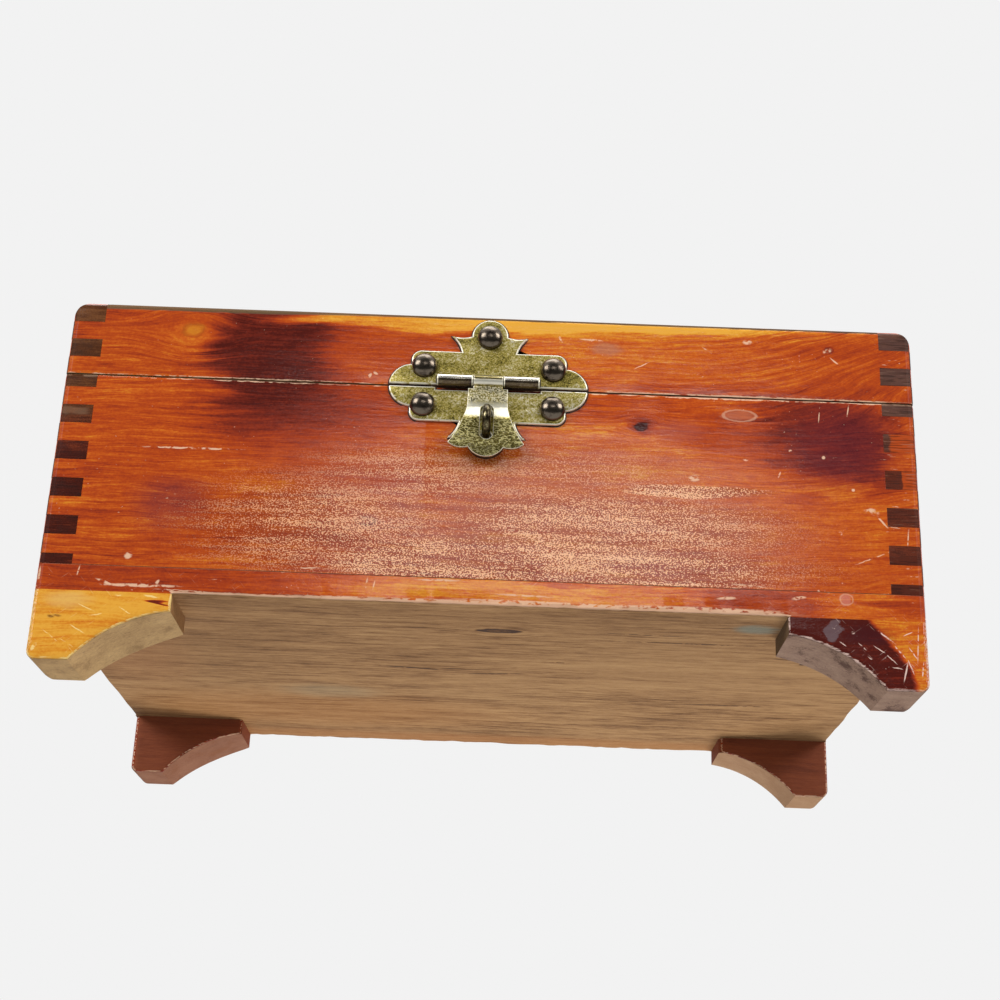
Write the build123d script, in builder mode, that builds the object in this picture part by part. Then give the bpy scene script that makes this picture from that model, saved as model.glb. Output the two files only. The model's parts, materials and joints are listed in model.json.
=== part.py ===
from build123d import *
import os

os.makedirs("parts", exist_ok=True)

# Case, in millimetres: X runs along the front, Y to the back and Z up from the floor
case_length = 206.4
case_depth = 139.7
board_thickness = 7.94
bottom_thickness = 6.35
foot_height = 16.64
base_wall_height = 48.83
lid_rail_height = 19.78
corner_round = 1.2
lid_end_round = 5.0
lid_front_round = 1.6

# Box joints at the corners: fingers are counted from the top edge of each board down
finger_width = 4.7625
lid_top_finger = 5.49
base_top_finger = 3.41
thinnest_finger = 1.2

# Lid panel, let into a seat cut round the top of the four rails
panel_thickness = 6.35
panel_seat = 3.2
panel_bevel = 0.4

# Bracket feet
foot_thickness = 19.05
foot_length = 32.0
foot_toe = 9.8
foot_toe_round = 2.3
foot_neck = 4.24
foot_arch_radius = 34.6

# Sheet brass, and the dome nails that hold it
plate_thickness = 0.8
plate_gap = 0.6
nail_head_radius = 2.9
nail_head_height = 2.2
nail_shank_radius = 0.6
nail_tip_cover = 0.5
fit_clearance = 0.05
part_clearance = 0.3

# Latch plates: heights are measured from the parting line, up on the lid and down on the base
latch_x = -0.25
plate_lobe_radius = 5.65
plate_lobe_x = 18.5
plate_bar_half_length = 18.9
plate_bar_height = 9.35
plate_bar_round = 2.4
plate_crest_radius = 4.4
plate_crest_height = 13.85
leaf_root = 6.8
leaf_tip = 9.5
leaf_tip_height = 13.65
leaf_throat = 4.0
leaf_outer_bow = 0.3
leaf_inner_bow = 0.4
latch_nail_x = 15.7
latch_nail_height = 5.15
crest_nail_height = 13.35

# Latch barrel and pin
barrel_radius = 1.45
barrel_height = 1.1
barrel_half_length = 12.45
hasp_knuckle_half_length = 3.55
knuckle_gap = 0.15
pin_radius = 0.55
pin_head_radius = 0.95
pin_head_thickness = 0.3

# Hasp: depths below the parting line, and how far its bowed sheet stands off the front
hasp_shoulder_drop = 1.0
hasp_neck_half_width = 4.8
hasp_waist_drop = 9.6
hasp_waist_half_width = 5.75
hasp_tip_drop = 16.0
hasp_tip_half_width = 9.1
hasp_tongue_half_width = 4.2
hasp_tongue_root_drop = 17.0
hasp_drop = 19.4
hasp_tip_bow = 0.2
hasp_bend_drop = 5.9
hasp_bow_drop = 9.8
hasp_bow_reach = 3.6
hasp_lip_reach = 3.3
hasp_bend_radius = 2.0
slot_top_drop = 5.2
slot_bottom_drop = 14.9
slot_width = 3.2

# Staple: a wire eye through the slot of the hasp
staple_wire_radius = 1.05
staple_leg_spacing = 5.8
staple_drop = 9.8
staple_reach = 7.2

# Back hinges: butt hinges nailed on the outside, with a lug on the barrel that stops the lid
hinge_inset = 43.2
hinge_width = 25.4
hinge_leaf_height = 10.0
hinge_leaf_round = 2.5
hinge_barrel_radius = 1.8
hinge_barrel_gap = 0.2
hinge_pin_radius = 0.8
hinge_pin_head_radius = 1.3
hinge_nail_spacing = 16.0
hinge_nail_height = 6.3
hinge_nail_head_radius = 1.7
hinge_nail_head_height = 0.9
stop_lug_reach = 3.0
stop_lug_thickness = 0.8

# Heights and depths that follow from the sizes above
bottom_top_z = foot_height + bottom_thickness
parting_z = bottom_top_z + base_wall_height
lid_top_z = parting_z + lid_rail_height
hinge_axis_reach = hinge_barrel_radius + hinge_barrel_gap
hinge_reach = hinge_axis_reach + stop_lug_reach
front_y = (staple_reach - case_depth - hinge_reach) / 2
back_y = front_y + case_depth
middle_y = (front_y + back_y) / 2
nail_grip = board_thickness - panel_seat - nail_tip_cover
nail_hole_radius = nail_shank_radius + fit_clearance
nail_hole_depth = nail_grip + fit_clearance
barrel_y = front_y - barrel_radius - part_clearance
barrel_z = parting_z + barrel_height
hinge_axis_y = back_y + hinge_axis_reach
hinge_centre_x = case_length / 2 - hinge_inset
hinge_knuckle_length = hinge_width / 3
staple_leg_drops = (staple_drop - staple_leg_spacing / 2, staple_drop + staple_leg_spacing / 2)

# Planes on the front and the back, with the parting line as their level zero
lid_front = Plane(origin=(latch_x, front_y, parting_z), x_dir=(1, 0, 0), z_dir=(0, -1, 0))
base_front = Plane(origin=(latch_x, front_y, parting_z), x_dir=(-1, 0, 0), z_dir=(0, -1, 0))


def finger_bands(top_z, height, top_finger):
    """The corner fingers of a run of boards, from the top down, as (low, high, owner)."""
    bands = []
    bottom_z = top_z - height
    high, width, owner = top_z, top_finger, "side"
    while high > bottom_z:
        low = high - width
        if low - bottom_z < thinnest_finger:
            low = bottom_z
        bands.append((low, high, owner))
        high, width = low, finger_width
        owner = "long" if owner == "side" else "side"
    return bands


def long_board(low_y, low_z, height, bands):
    """A front or back board, cut away at both ends where the side boards' fingers pass."""
    end_x = (case_length - board_thickness) / 2
    with BuildPart() as board:
        with BuildSketch(Plane.XZ.offset(-low_y - board_thickness)):
            with Locations((0, low_z + height / 2)):
                Rectangle(case_length, height)
            for low, high, owner in bands:
                if owner == "side":
                    with Locations((-end_x, (low + high) / 2), (end_x, (low + high) / 2)):
                        Rectangle(board_thickness, high - low, mode=Mode.SUBTRACT)
        extrude(amount=board_thickness)
    return board.part


def side_board(low_x, low_z, height, bands):
    """A side board, cut away at both ends where the front and back boards' fingers pass."""
    front_end = front_y + board_thickness / 2
    back_end = back_y - board_thickness / 2
    with BuildPart() as board:
        with BuildSketch(Plane.YZ.offset(low_x)):
            with Locations((middle_y, low_z + height / 2)):
                Rectangle(case_depth, height)
            for low, high, owner in bands:
                if owner == "long":
                    with Locations((front_end, (low + high) / 2), (back_end, (low + high) / 2)):
                        Rectangle(board_thickness, high - low, mode=Mode.SUBTRACT)
        extrude(amount=board_thickness)
    return board.part


def dome_nails(points, face_y, outward, head_radius, head_height):
    """Dome-headed nails through a brass plate on the face at face_y, driven against outward."""
    with BuildPart() as nails:
        for x, z in points:
            with BuildSketch(Plane(origin=(x, face_y, z), x_dir=(1, 0, 0), z_dir=(0, 0, outward))):
                with BuildLine():
                    Polyline(
                        (0, plate_thickness + head_height),
                        (0, -nail_grip),
                        (nail_shank_radius, -nail_grip),
                        (nail_shank_radius, plate_thickness),
                        (head_radius, plate_thickness),
                    )
                    TangentArc(
                        (0, plate_thickness + head_height),
                        (head_radius, plate_thickness),
                        tangent=(1, 0),
                    )
                make_face()
            revolve(axis=Axis((x, face_y, z), (0, 1, 0)))
    return nails


def barrel_pin(low_x, high_x, y, z, radius, head_radius):
    """A hinge pin along X with a flat head against each end of its barrel."""
    with BuildPart() as pin:
        with BuildSketch(Plane.YZ.offset(low_x)):
            with Locations((y, z)):
                Circle(radius)
        extrude(amount=high_x - low_x)
        with BuildSketch(Plane.YZ.offset(low_x - pin_head_thickness), Plane.YZ.offset(high_x)):
            with Locations((y, z)):
                Circle(head_radius)
        extrude(amount=pin_head_thickness)
    return pin


# Outer shapes that the boards are rounded to
with BuildPart() as base_outside:
    with BuildSketch(Plane.XY.offset(foot_height)):
        with Locations((0, middle_y)):
            RectangleRounded(case_length, case_depth, corner_round)
    extrude(amount=parting_z - foot_height)

with BuildPart() as lid_outside:
    with BuildSketch(Plane.XY.offset(parting_z)):
        with Locations((0, middle_y)):
            RectangleRounded(case_length, case_depth, corner_round)
    extrude(amount=lid_rail_height)
    with BuildSketch(Plane.XZ.offset(-back_y)) as front_profile:
        with Locations((0, parting_z + lid_rail_height / 2)):
            Rectangle(case_length, lid_rail_height)
        fillet(front_profile.vertices().group_by(Axis.Y)[-1], lid_end_round)
    extrude(amount=case_depth, mode=Mode.INTERSECT)
    with BuildSketch(Plane.YZ.offset(-case_length / 2)) as side_profile:
        with Locations((middle_y, parting_z + lid_rail_height / 2)):
            Rectangle(case_depth, lid_rail_height)
        fillet(side_profile.vertices().group_by(Axis.Y)[-1], lid_front_round)
    extrude(amount=case_length, mode=Mode.INTERSECT)

# Lid panel
with BuildPart() as lid_top_panel:
    with BuildSketch(Plane.XY.offset(lid_top_z - panel_thickness)):
        with Locations((0, middle_y)):
            Rectangle(
                case_length - 2 * board_thickness + 2 * panel_seat,
                case_depth - 2 * board_thickness + 2 * panel_seat,
            )
    panel_seating = extrude(amount=panel_thickness)
    chamfer(lid_top_panel.faces().sort_by(Axis.Z)[-1].edges(), panel_bevel)
lid_top_panel.part.label = "lid_top_panel"
export_step(lid_top_panel.part, "parts/lid_top_panel.step")

# Where the nails go, as (x, z)
lid_nail_points = [
    (latch_x - latch_nail_x, parting_z + latch_nail_height),
    (latch_x + latch_nail_x, parting_z + latch_nail_height),
    (latch_x, parting_z + crest_nail_height),
]
base_nail_points = [
    (latch_x - latch_nail_x, parting_z - latch_nail_height),
    (latch_x + latch_nail_x, parting_z - latch_nail_height),
]
staple_points = [(latch_x, parting_z - drop) for drop in staple_leg_drops]
hinge_centres = {"left": -hinge_centre_x, "right": hinge_centre_x}
hinge_nail_xs = [
    centre + side * hinge_nail_spacing / 2 for centre in hinge_centres.values() for side in (-1, 1)
]
hinge_lid_points = [(x, parting_z + hinge_nail_height) for x in hinge_nail_xs]
hinge_base_points = [(x, parting_z - hinge_nail_height) for x in hinge_nail_xs]

lid_bands = finger_bands(lid_top_z, lid_rail_height, lid_top_finger)
base_bands = finger_bands(parting_z, base_wall_height, base_top_finger)

# Lid rails
with BuildPart() as lid_front_rail:
    add(long_board(front_y, parting_z, lid_rail_height, lid_bands))
    add(lid_outside.part, mode=Mode.INTERSECT)
    add(panel_seating, mode=Mode.SUBTRACT)
    with BuildSketch(Plane.XZ.offset(-front_y)):
        with Locations(*lid_nail_points):
            Circle(nail_hole_radius)
    extrude(amount=-nail_hole_depth, mode=Mode.SUBTRACT)
lid_front_rail.part.label = "lid_front_rail"
export_step(lid_front_rail.part, "parts/lid_front_rail.step")

with BuildPart() as lid_back_rail:
    add(long_board(back_y - board_thickness, parting_z, lid_rail_height, lid_bands))
    add(lid_outside.part, mode=Mode.INTERSECT)
    add(panel_seating, mode=Mode.SUBTRACT)
    with BuildSketch(Plane.XZ.offset(-back_y)):
        with Locations(*hinge_lid_points):
            Circle(nail_hole_radius)
    extrude(amount=nail_hole_depth, mode=Mode.SUBTRACT)
lid_back_rail.part.label = "lid_back_rail"
export_step(lid_back_rail.part, "parts/lid_back_rail.step")

for side, low_x in (("left", -case_length / 2), ("right", case_length / 2 - board_thickness)):
    with BuildPart() as lid_side_rail:
        add(side_board(low_x, parting_z, lid_rail_height, lid_bands))
        add(lid_outside.part, mode=Mode.INTERSECT)
        add(panel_seating, mode=Mode.SUBTRACT)
    lid_side_rail.part.label = f"lid_{side}_rail"
    export_step(lid_side_rail.part, f"parts/lid_{side}_rail.step")

    with BuildPart() as base_side_wall:
        add(side_board(low_x, bottom_top_z, base_wall_height, base_bands))
        add(base_outside.part, mode=Mode.INTERSECT)
    base_side_wall.part.label = f"base_{side}_wall"
    export_step(base_side_wall.part, f"parts/base_{side}_wall.step")

# Base walls and bottom
with BuildPart() as base_front_wall:
    add(long_board(front_y, bottom_top_z, base_wall_height, base_bands))
    add(base_outside.part, mode=Mode.INTERSECT)
    with BuildSketch(Plane.XZ.offset(-front_y)):
        with Locations(*base_nail_points):
            Circle(nail_hole_radius)
        with Locations(*staple_points):
            Circle(staple_wire_radius + fit_clearance)
    extrude(amount=-nail_hole_depth, mode=Mode.SUBTRACT)
base_front_wall.part.label = "base_front_wall"
export_step(base_front_wall.part, "parts/base_front_wall.step")

with BuildPart() as base_back_wall:
    add(long_board(back_y - board_thickness, bottom_top_z, base_wall_height, base_bands))
    add(base_outside.part, mode=Mode.INTERSECT)
    with BuildSketch(Plane.XZ.offset(-back_y)):
        with Locations(*hinge_base_points):
            Circle(nail_hole_radius)
    extrude(amount=nail_hole_depth, mode=Mode.SUBTRACT)
base_back_wall.part.label = "base_back_wall"
export_step(base_back_wall.part, "parts/base_back_wall.step")

with BuildPart() as bottom_board:
    with BuildSketch(Plane.XY.offset(foot_height)):
        with Locations((0, middle_y)):
            RectangleRounded(case_length, case_depth, corner_round)
    extrude(amount=bottom_thickness)
bottom_board.part.label = "bottom_board"
export_step(bottom_board.part, "parts/bottom_board.step")

# Feet: a flat toe at the outer end, then one arc up to a short neck at the inner end
for side, outer_x, inward in (("left", -case_length / 2, 1), ("right", case_length / 2, -1)):
    for end, high_y in (("front", front_y + foot_thickness), ("back", back_y)):
        with BuildPart() as foot:
            with BuildSketch(Plane.XZ.offset(-high_y)) as foot_profile:
                with BuildLine():
                    Polyline(
                        (outer_x + inward * foot_length, foot_height - foot_neck),
                        (outer_x + inward * foot_length, foot_height),
                        (outer_x, foot_height),
                        (outer_x, 0),
                        (outer_x + inward * foot_toe, 0),
                    )
                    RadiusArc(
                        (outer_x + inward * foot_toe, 0),
                        (outer_x + inward * foot_length, foot_height - foot_neck),
                        inward * foot_arch_radius,
                    )
                make_face()
                toe_corner = foot_profile.vertices().group_by(Axis.Y)[0].sort_by(Axis.X)
                fillet(toe_corner[0 if side == "left" else -1], foot_toe_round)
            extrude(amount=foot_thickness)
        foot.part.label = f"foot_{end}_{side}"
        export_step(foot.part, f"parts/foot_{end}_{side}.step")


def latch_plate(plane):
    """One latch plate: a bar with round lobes, a pointed leaf each side and a round crest."""
    with BuildPart() as plate:
        with BuildSketch(plane) as outline:
            with Locations((0, plate_bar_height / 2)):
                Rectangle(2 * plate_bar_half_length, plate_bar_height)
            fillet(outline.vertices().group_by(Axis.Y)[-1], plate_bar_round)
            with Locations((-plate_lobe_x, 0), (plate_lobe_x, 0)):
                Circle(plate_lobe_radius)
            with Locations((0, plate_crest_height)):
                Circle(plate_crest_radius)
            with BuildLine():
                Polyline(
                    (0, plate_bar_height / 2),
                    (leaf_root, plate_bar_height / 2),
                    (leaf_root, plate_bar_height),
                )
                ThreePointArc(
                    (leaf_root, plate_bar_height),
                    (
                        (leaf_root + leaf_tip) / 2 - leaf_outer_bow,
                        (plate_bar_height + leaf_tip_height) / 2 + leaf_outer_bow,
                    ),
                    (leaf_tip, leaf_tip_height),
                )
                ThreePointArc(
                    (leaf_tip, leaf_tip_height),
                    ((leaf_tip + leaf_throat) / 2, leaf_tip_height - leaf_inner_bow),
                    (leaf_throat, plate_crest_height),
                )
                Line((leaf_throat, plate_crest_height), (0, plate_crest_height))
                mirror(about=Plane.YZ)
            make_face()
            with Locations((0, plate_gap / 2 - plate_lobe_radius)):
                Rectangle(4 * plate_lobe_x, 2 * plate_lobe_radius, mode=Mode.SUBTRACT)
        extrude(amount=plate_thickness)
    return plate.part


# Latch: lid plate with the two outer knuckles
with BuildPart() as latch_lid_plate:
    add(latch_plate(lid_front))
    with BuildSketch(lid_front):
        Rectangle(
            2 * (hasp_knuckle_half_length + knuckle_gap),
            2 * (barrel_height + barrel_radius + part_clearance),
        )
        with Locations(*[(x - latch_x, z - parting_z) for x, z in lid_nail_points]):
            Circle(nail_hole_radius)
    extrude(amount=plate_thickness, mode=Mode.SUBTRACT)
    knuckle_length = barrel_half_length - hasp_knuckle_half_length - knuckle_gap
    for low_x in (latch_x - barrel_half_length, latch_x + barrel_half_length - knuckle_length):
        with BuildSketch(Plane.YZ.offset(low_x)):
            with Locations((barrel_y, barrel_z)):
                Circle(barrel_radius)
        extrude(amount=knuckle_length)
    with BuildSketch(Plane.YZ.offset(latch_x - barrel_half_length)):
        with Locations((barrel_y, barrel_z)):
            Circle(pin_radius + fit_clearance)
    extrude(amount=2 * barrel_half_length, mode=Mode.SUBTRACT)
latch_lid_plate.part.label = "latch_lid_plate"
export_step(latch_lid_plate.part, "parts/latch_lid_plate.step")

# Base plate, cut down under the barrel and drilled for the staple
with BuildPart() as latch_base_plate:
    add(latch_plate(base_front))
    with BuildSketch(base_front):
        Rectangle(2 * (barrel_half_length + part_clearance), 2 * hasp_shoulder_drop)
        with Locations(*[(latch_x - x, parting_z - z) for x, z in base_nail_points]):
            Circle(nail_hole_radius)
        with Locations(*[(latch_x - x, parting_z - z) for x, z in staple_points]):
            Circle(staple_wire_radius + fit_clearance)
    extrude(amount=plate_thickness, mode=Mode.SUBTRACT)
latch_base_plate.part.label = "latch_base_plate"
export_step(latch_base_plate.part, "parts/latch_base_plate.step")

# Hasp: a bowed sheet, trimmed to its front outline, with its knuckle and slot
with BuildPart() as latch_hasp:
    with BuildSketch(Plane.YZ.offset(latch_x)):
        with BuildLine() as bow:
            FilletPolyline(
                (barrel_y, barrel_z),
                (barrel_y, parting_z - hasp_bend_drop),
                (front_y - hasp_bow_reach, parting_z - hasp_bow_drop),
                (front_y - hasp_lip_reach, parting_z - hasp_drop),
                radius=hasp_bend_radius,
            )
        trace(line_width=plate_thickness)
    extrude(amount=hasp_tip_half_width, both=True)
    with BuildSketch(lid_front) as hasp_outline:
        with BuildLine():
            Polyline(
                (0, barrel_height),
                (hasp_knuckle_half_length, barrel_height),
                (hasp_knuckle_half_length, -hasp_shoulder_drop),
                (hasp_neck_half_width, -hasp_shoulder_drop),
                (hasp_neck_half_width, -hasp_bend_drop / 2),
            )
            ThreePointArc(
                (hasp_neck_half_width, -hasp_bend_drop / 2),
                (hasp_waist_half_width, -hasp_waist_drop),
                (hasp_tip_half_width, -hasp_tip_drop),
            )
            ThreePointArc(
                (hasp_tip_half_width, -hasp_tip_drop),
                (
                    (hasp_tip_half_width + hasp_tongue_half_width) / 2,
                    -hasp_tongue_root_drop - hasp_tip_bow,
                ),
                (hasp_tongue_half_width, -hasp_tongue_root_drop),
            )
            TangentArc(
                (0, -hasp_drop), (hasp_tongue_half_width, -hasp_tongue_root_drop), tangent=(1, 0)
            )
            mirror(about=Plane.YZ)
        make_face()
        with Locations((0, -(slot_top_drop + slot_bottom_drop) / 2)):
            SlotOverall(slot_bottom_drop - slot_top_drop, slot_width, rotation=90, mode=Mode.SUBTRACT)
    extrude(amount=2 * staple_reach, both=True, mode=Mode.INTERSECT)
    with BuildSketch(Plane.YZ.offset(latch_x - hasp_knuckle_half_length)):
        with Locations((barrel_y, barrel_z)):
            Circle(barrel_radius)
    extrude(amount=2 * hasp_knuckle_half_length)
    with BuildSketch(Plane.YZ.offset(latch_x - hasp_knuckle_half_length)):
        with Locations((barrel_y, barrel_z)):
            Circle(pin_radius + fit_clearance)
    extrude(amount=2 * hasp_knuckle_half_length, mode=Mode.SUBTRACT)
latch_hasp.part.label = "latch_hasp"
export_step(latch_hasp.part, "parts/latch_hasp.step")

latch_pin = barrel_pin(
    latch_x - barrel_half_length,
    latch_x + barrel_half_length,
    barrel_y,
    barrel_z,
    pin_radius,
    pin_head_radius,
)
latch_pin.part.label = "latch_pin"
export_step(latch_pin.part, "parts/latch_pin.step")

# Staple: one wire, out of the front, round its eye and back in
crown_y = front_y - staple_reach + staple_wire_radius + staple_leg_spacing / 2
upper_leg_z, lower_leg_z = (parting_z - drop for drop in staple_leg_drops)
with BuildPart() as latch_staple:
    with BuildLine(Plane.YZ.offset(latch_x)) as staple_path:
        Line((front_y + nail_grip, upper_leg_z), (crown_y, upper_leg_z))
        ThreePointArc(
            (crown_y, upper_leg_z),
            (crown_y - staple_leg_spacing / 2, parting_z - staple_drop),
            (crown_y, lower_leg_z),
        )
        Line((crown_y, lower_leg_z), (front_y + nail_grip, lower_leg_z))
    with BuildSketch(Plane.XZ.offset(-front_y - nail_grip)):
        with Locations((latch_x, upper_leg_z)):
            Circle(staple_wire_radius)
    sweep(path=staple_path.wires()[0])
latch_staple.part.label = "latch_staple"
export_step(latch_staple.part, "parts/latch_staple.step")

# Dome nails, in groups
latch_lid_nails = dome_nails(lid_nail_points, front_y, -1, nail_head_radius, nail_head_height)
latch_lid_nails.part.label = "latch_lid_nails"
export_step(latch_lid_nails.part, "parts/latch_lid_nails.step")

latch_base_nails = dome_nails(base_nail_points, front_y, -1, nail_head_radius, nail_head_height)
latch_base_nails.part.label = "latch_base_nails"
export_step(latch_base_nails.part, "parts/latch_base_nails.step")

hinge_lid_nails = dome_nails(
    hinge_lid_points, back_y, 1, hinge_nail_head_radius, hinge_nail_head_height
)
hinge_lid_nails.part.label = "hinge_lid_nails"
export_step(hinge_lid_nails.part, "parts/hinge_lid_nails.step")

hinge_base_nails = dome_nails(
    hinge_base_points, back_y, 1, hinge_nail_head_radius, hinge_nail_head_height
)
hinge_base_nails.part.label = "hinge_base_nails"
export_step(hinge_base_nails.part, "parts/hinge_base_nails.step")


def hinge_leaf(centre_x, upward, own_knuckles, other_knuckles, nail_points):
    """A hinge leaf on the back face. Knuckles are counted 0, 1 and 2 from low X."""
    low_x = centre_x - hinge_width / 2
    middle = low_x + hinge_knuckle_length / 2
    on_back = Plane(origin=(0, back_y, parting_z), x_dir=(-1, 0, 0), z_dir=(0, 1, 0))
    with BuildPart() as leaf:
        with BuildSketch(on_back) as outline:
            with Locations((-centre_x, upward * hinge_leaf_height / 2)):
                Rectangle(hinge_width, hinge_leaf_height)
            free_corners = outline.vertices().group_by(Axis.Y)[-1 if upward > 0 else 0]
            fillet(free_corners, hinge_leaf_round)
            with Locations(*[(-middle - n * hinge_knuckle_length, 0) for n in other_knuckles]):
                Rectangle(
                    hinge_knuckle_length + 2 * knuckle_gap,
                    2 * (hinge_barrel_radius + part_clearance),
                    mode=Mode.SUBTRACT,
                )
            with Locations(*[(-x, z - parting_z) for x, z in nail_points]):
                Circle(nail_hole_radius, mode=Mode.SUBTRACT)
        extrude(amount=plate_thickness)
        for n in own_knuckles:
            with BuildSketch(Plane.YZ.offset(low_x + n * hinge_knuckle_length)):
                with Locations((hinge_axis_y, parting_z)):
                    Circle(hinge_barrel_radius)
            extrude(amount=hinge_knuckle_length)
        if upward < 0:
            for n in own_knuckles:
                with BuildSketch(Plane.YZ.offset(low_x + n * hinge_knuckle_length)):
                    with Locations((hinge_axis_y + stop_lug_reach / 2, parting_z)):
                        Rectangle(stop_lug_reach, stop_lug_thickness)
                extrude(amount=hinge_knuckle_length)
        for n in other_knuckles:
            with BuildSketch(Plane.YZ.offset(low_x + n * hinge_knuckle_length - knuckle_gap)):
                with Locations((hinge_axis_y, parting_z)):
                    Circle(hinge_barrel_radius + part_clearance)
            extrude(amount=hinge_knuckle_length + 2 * knuckle_gap, mode=Mode.SUBTRACT)
        with BuildSketch(Plane.YZ.offset(low_x)):
            with Locations((hinge_axis_y, parting_z)):
                Circle(hinge_pin_radius + fit_clearance)
        extrude(amount=hinge_width, mode=Mode.SUBTRACT)
    return leaf


for side, centre_x in hinge_centres.items():
    hinge_lid_leaf = hinge_leaf(
        centre_x, 1, (1,), (0, 2), [p for p in hinge_lid_points if p[0] * centre_x > 0]
    )
    hinge_lid_leaf.part.label = f"{side}_hinge_lid_leaf"
    export_step(hinge_lid_leaf.part, f"parts/{side}_hinge_lid_leaf.step")

    hinge_base_leaf = hinge_leaf(
        centre_x, -1, (0, 2), (1,), [p for p in hinge_base_points if p[0] * centre_x > 0]
    )
    hinge_base_leaf.part.label = f"{side}_hinge_base_leaf"
    export_step(hinge_base_leaf.part, f"parts/{side}_hinge_base_leaf.step")

    hinge_pin = barrel_pin(
        centre_x - hinge_width / 2,
        centre_x + hinge_width / 2,
        hinge_axis_y,
        parting_z,
        hinge_pin_radius,
        hinge_pin_head_radius,
    )
    hinge_pin.part.label = f"{side}_hinge_pin"
    export_step(hinge_pin.part, f"parts/{side}_hinge_pin.step")
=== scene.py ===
import json
import math
from collections import namedtuple

import bmesh
import bpy
from bmesh.types import BMEdge, BMVert
from bpy.props import FloatProperty, FloatVectorProperty, PointerProperty
from bpy.types import Operator, Panel, PropertyGroup
from mathutils import Matrix, Vector, noise

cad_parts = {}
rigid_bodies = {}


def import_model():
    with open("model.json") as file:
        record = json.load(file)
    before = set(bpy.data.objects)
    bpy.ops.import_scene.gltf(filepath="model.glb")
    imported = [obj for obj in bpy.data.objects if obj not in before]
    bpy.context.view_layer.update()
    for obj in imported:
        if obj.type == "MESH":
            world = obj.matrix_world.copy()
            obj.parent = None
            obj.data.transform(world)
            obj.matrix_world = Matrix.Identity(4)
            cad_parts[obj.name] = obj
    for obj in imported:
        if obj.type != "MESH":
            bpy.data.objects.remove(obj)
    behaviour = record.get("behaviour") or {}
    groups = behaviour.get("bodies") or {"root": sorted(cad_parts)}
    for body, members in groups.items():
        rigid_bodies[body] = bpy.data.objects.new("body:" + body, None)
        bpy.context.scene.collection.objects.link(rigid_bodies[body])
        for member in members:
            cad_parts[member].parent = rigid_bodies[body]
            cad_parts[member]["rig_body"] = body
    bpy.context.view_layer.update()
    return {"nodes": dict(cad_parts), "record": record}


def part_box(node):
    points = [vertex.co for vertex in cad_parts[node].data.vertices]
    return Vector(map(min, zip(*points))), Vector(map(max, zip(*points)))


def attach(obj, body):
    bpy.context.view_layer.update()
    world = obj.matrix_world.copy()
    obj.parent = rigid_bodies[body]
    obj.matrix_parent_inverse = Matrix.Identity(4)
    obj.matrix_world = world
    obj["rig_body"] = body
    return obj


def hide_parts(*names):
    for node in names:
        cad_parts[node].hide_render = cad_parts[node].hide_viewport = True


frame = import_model()

bl_info = {
    "name": "Cedar jewelry box",
    "version": (1, 0, 0),
    "blender": (4, 5, 0),
    "location": "View3D > Sidebar > Jewelry box",
    "description": "Dresses a footed cedar box with a nailed brass latch",
    "category": "Object",
}

MM = 0.001
FLAT_ANGLE = math.radians(0.3)
SHARP_ANGLE = math.radians(40)
FACET_ANGLE = math.radians(28)
BOARD_ANGLE = math.radians(10)
QUARTER_TURN = math.radians(90)
# How near points are merged, lie on a cut, and count as being in the same place
MERGE = 0.001 * MM
ON_CUT = 0.0005 * MM
TOUCH = 0.01 * MM
# Faces up to this many millimetres in from the outside of the case belong to its skin
SKIN = 1.3
# Lengths of the waves that wear follows along an arris
LONG_WAVE = 9 * MM
SHORT_WAVE = 2.2 * MM
# The painted shadow round a plate: how far it reaches past the plate, and its thickness
SHADOW_REACH = 0.3 * MM
SHADOW_THICKNESS = 0.12 * MM
# Cuts across a foot, which let its faces bend
FOOT_CUTS_X = 1.6 * MM
FOOT_CUTS_Y = 2.1 * MM
FOOT_CUTS_Z = 1.3 * MM

# Heights and depths of the box, in millimetres, read from the frame
front_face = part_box("base_front_wall")[0].y / MM
back_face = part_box("base_back_wall")[1].y / MM
middle_y = (front_face + back_face) / 2
half_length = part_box("bottom_board")[1].x / MM
half_depth = (back_face - front_face) / 2
board_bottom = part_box("bottom_board")[0].z / MM
board_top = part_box("bottom_board")[1].z / MM
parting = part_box("base_front_wall")[1].z / MM
lid_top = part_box("lid_top_panel")[1].z / MM
corner_round = 1.2
finger_pitch = 9.525


def paint(red, green, blue):
    """A colour as on a paint card, each part 0 to 255, as the light values that nodes mix."""
    parts = (red / 255, green / 255, blue / 255)
    return tuple(p / 12.92 if p <= 0.04045 else ((p + 0.055) / 1.055) ** 2.4 for p in parts)


def colour_setting(name, description, red, green, blue):
    """A colour that a user can change, given as on a paint card."""
    return FloatVectorProperty(
        name=name,
        description=description,
        subtype="COLOR",
        size=3,
        min=0,
        max=1,
        default=paint(red, green, blue),
    )


def length_setting(name, description, millimetres):
    """A length that a user can change."""
    return FloatProperty(
        name=name, description=description, subtype="DISTANCE", unit="LENGTH", min=0, default=millimetres * MM
    )


def power_setting(name, description, watts):
    """The power of a lamp that a user can change."""
    return FloatProperty(name=name, description=description, unit="POWER", min=0, default=watts)


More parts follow.
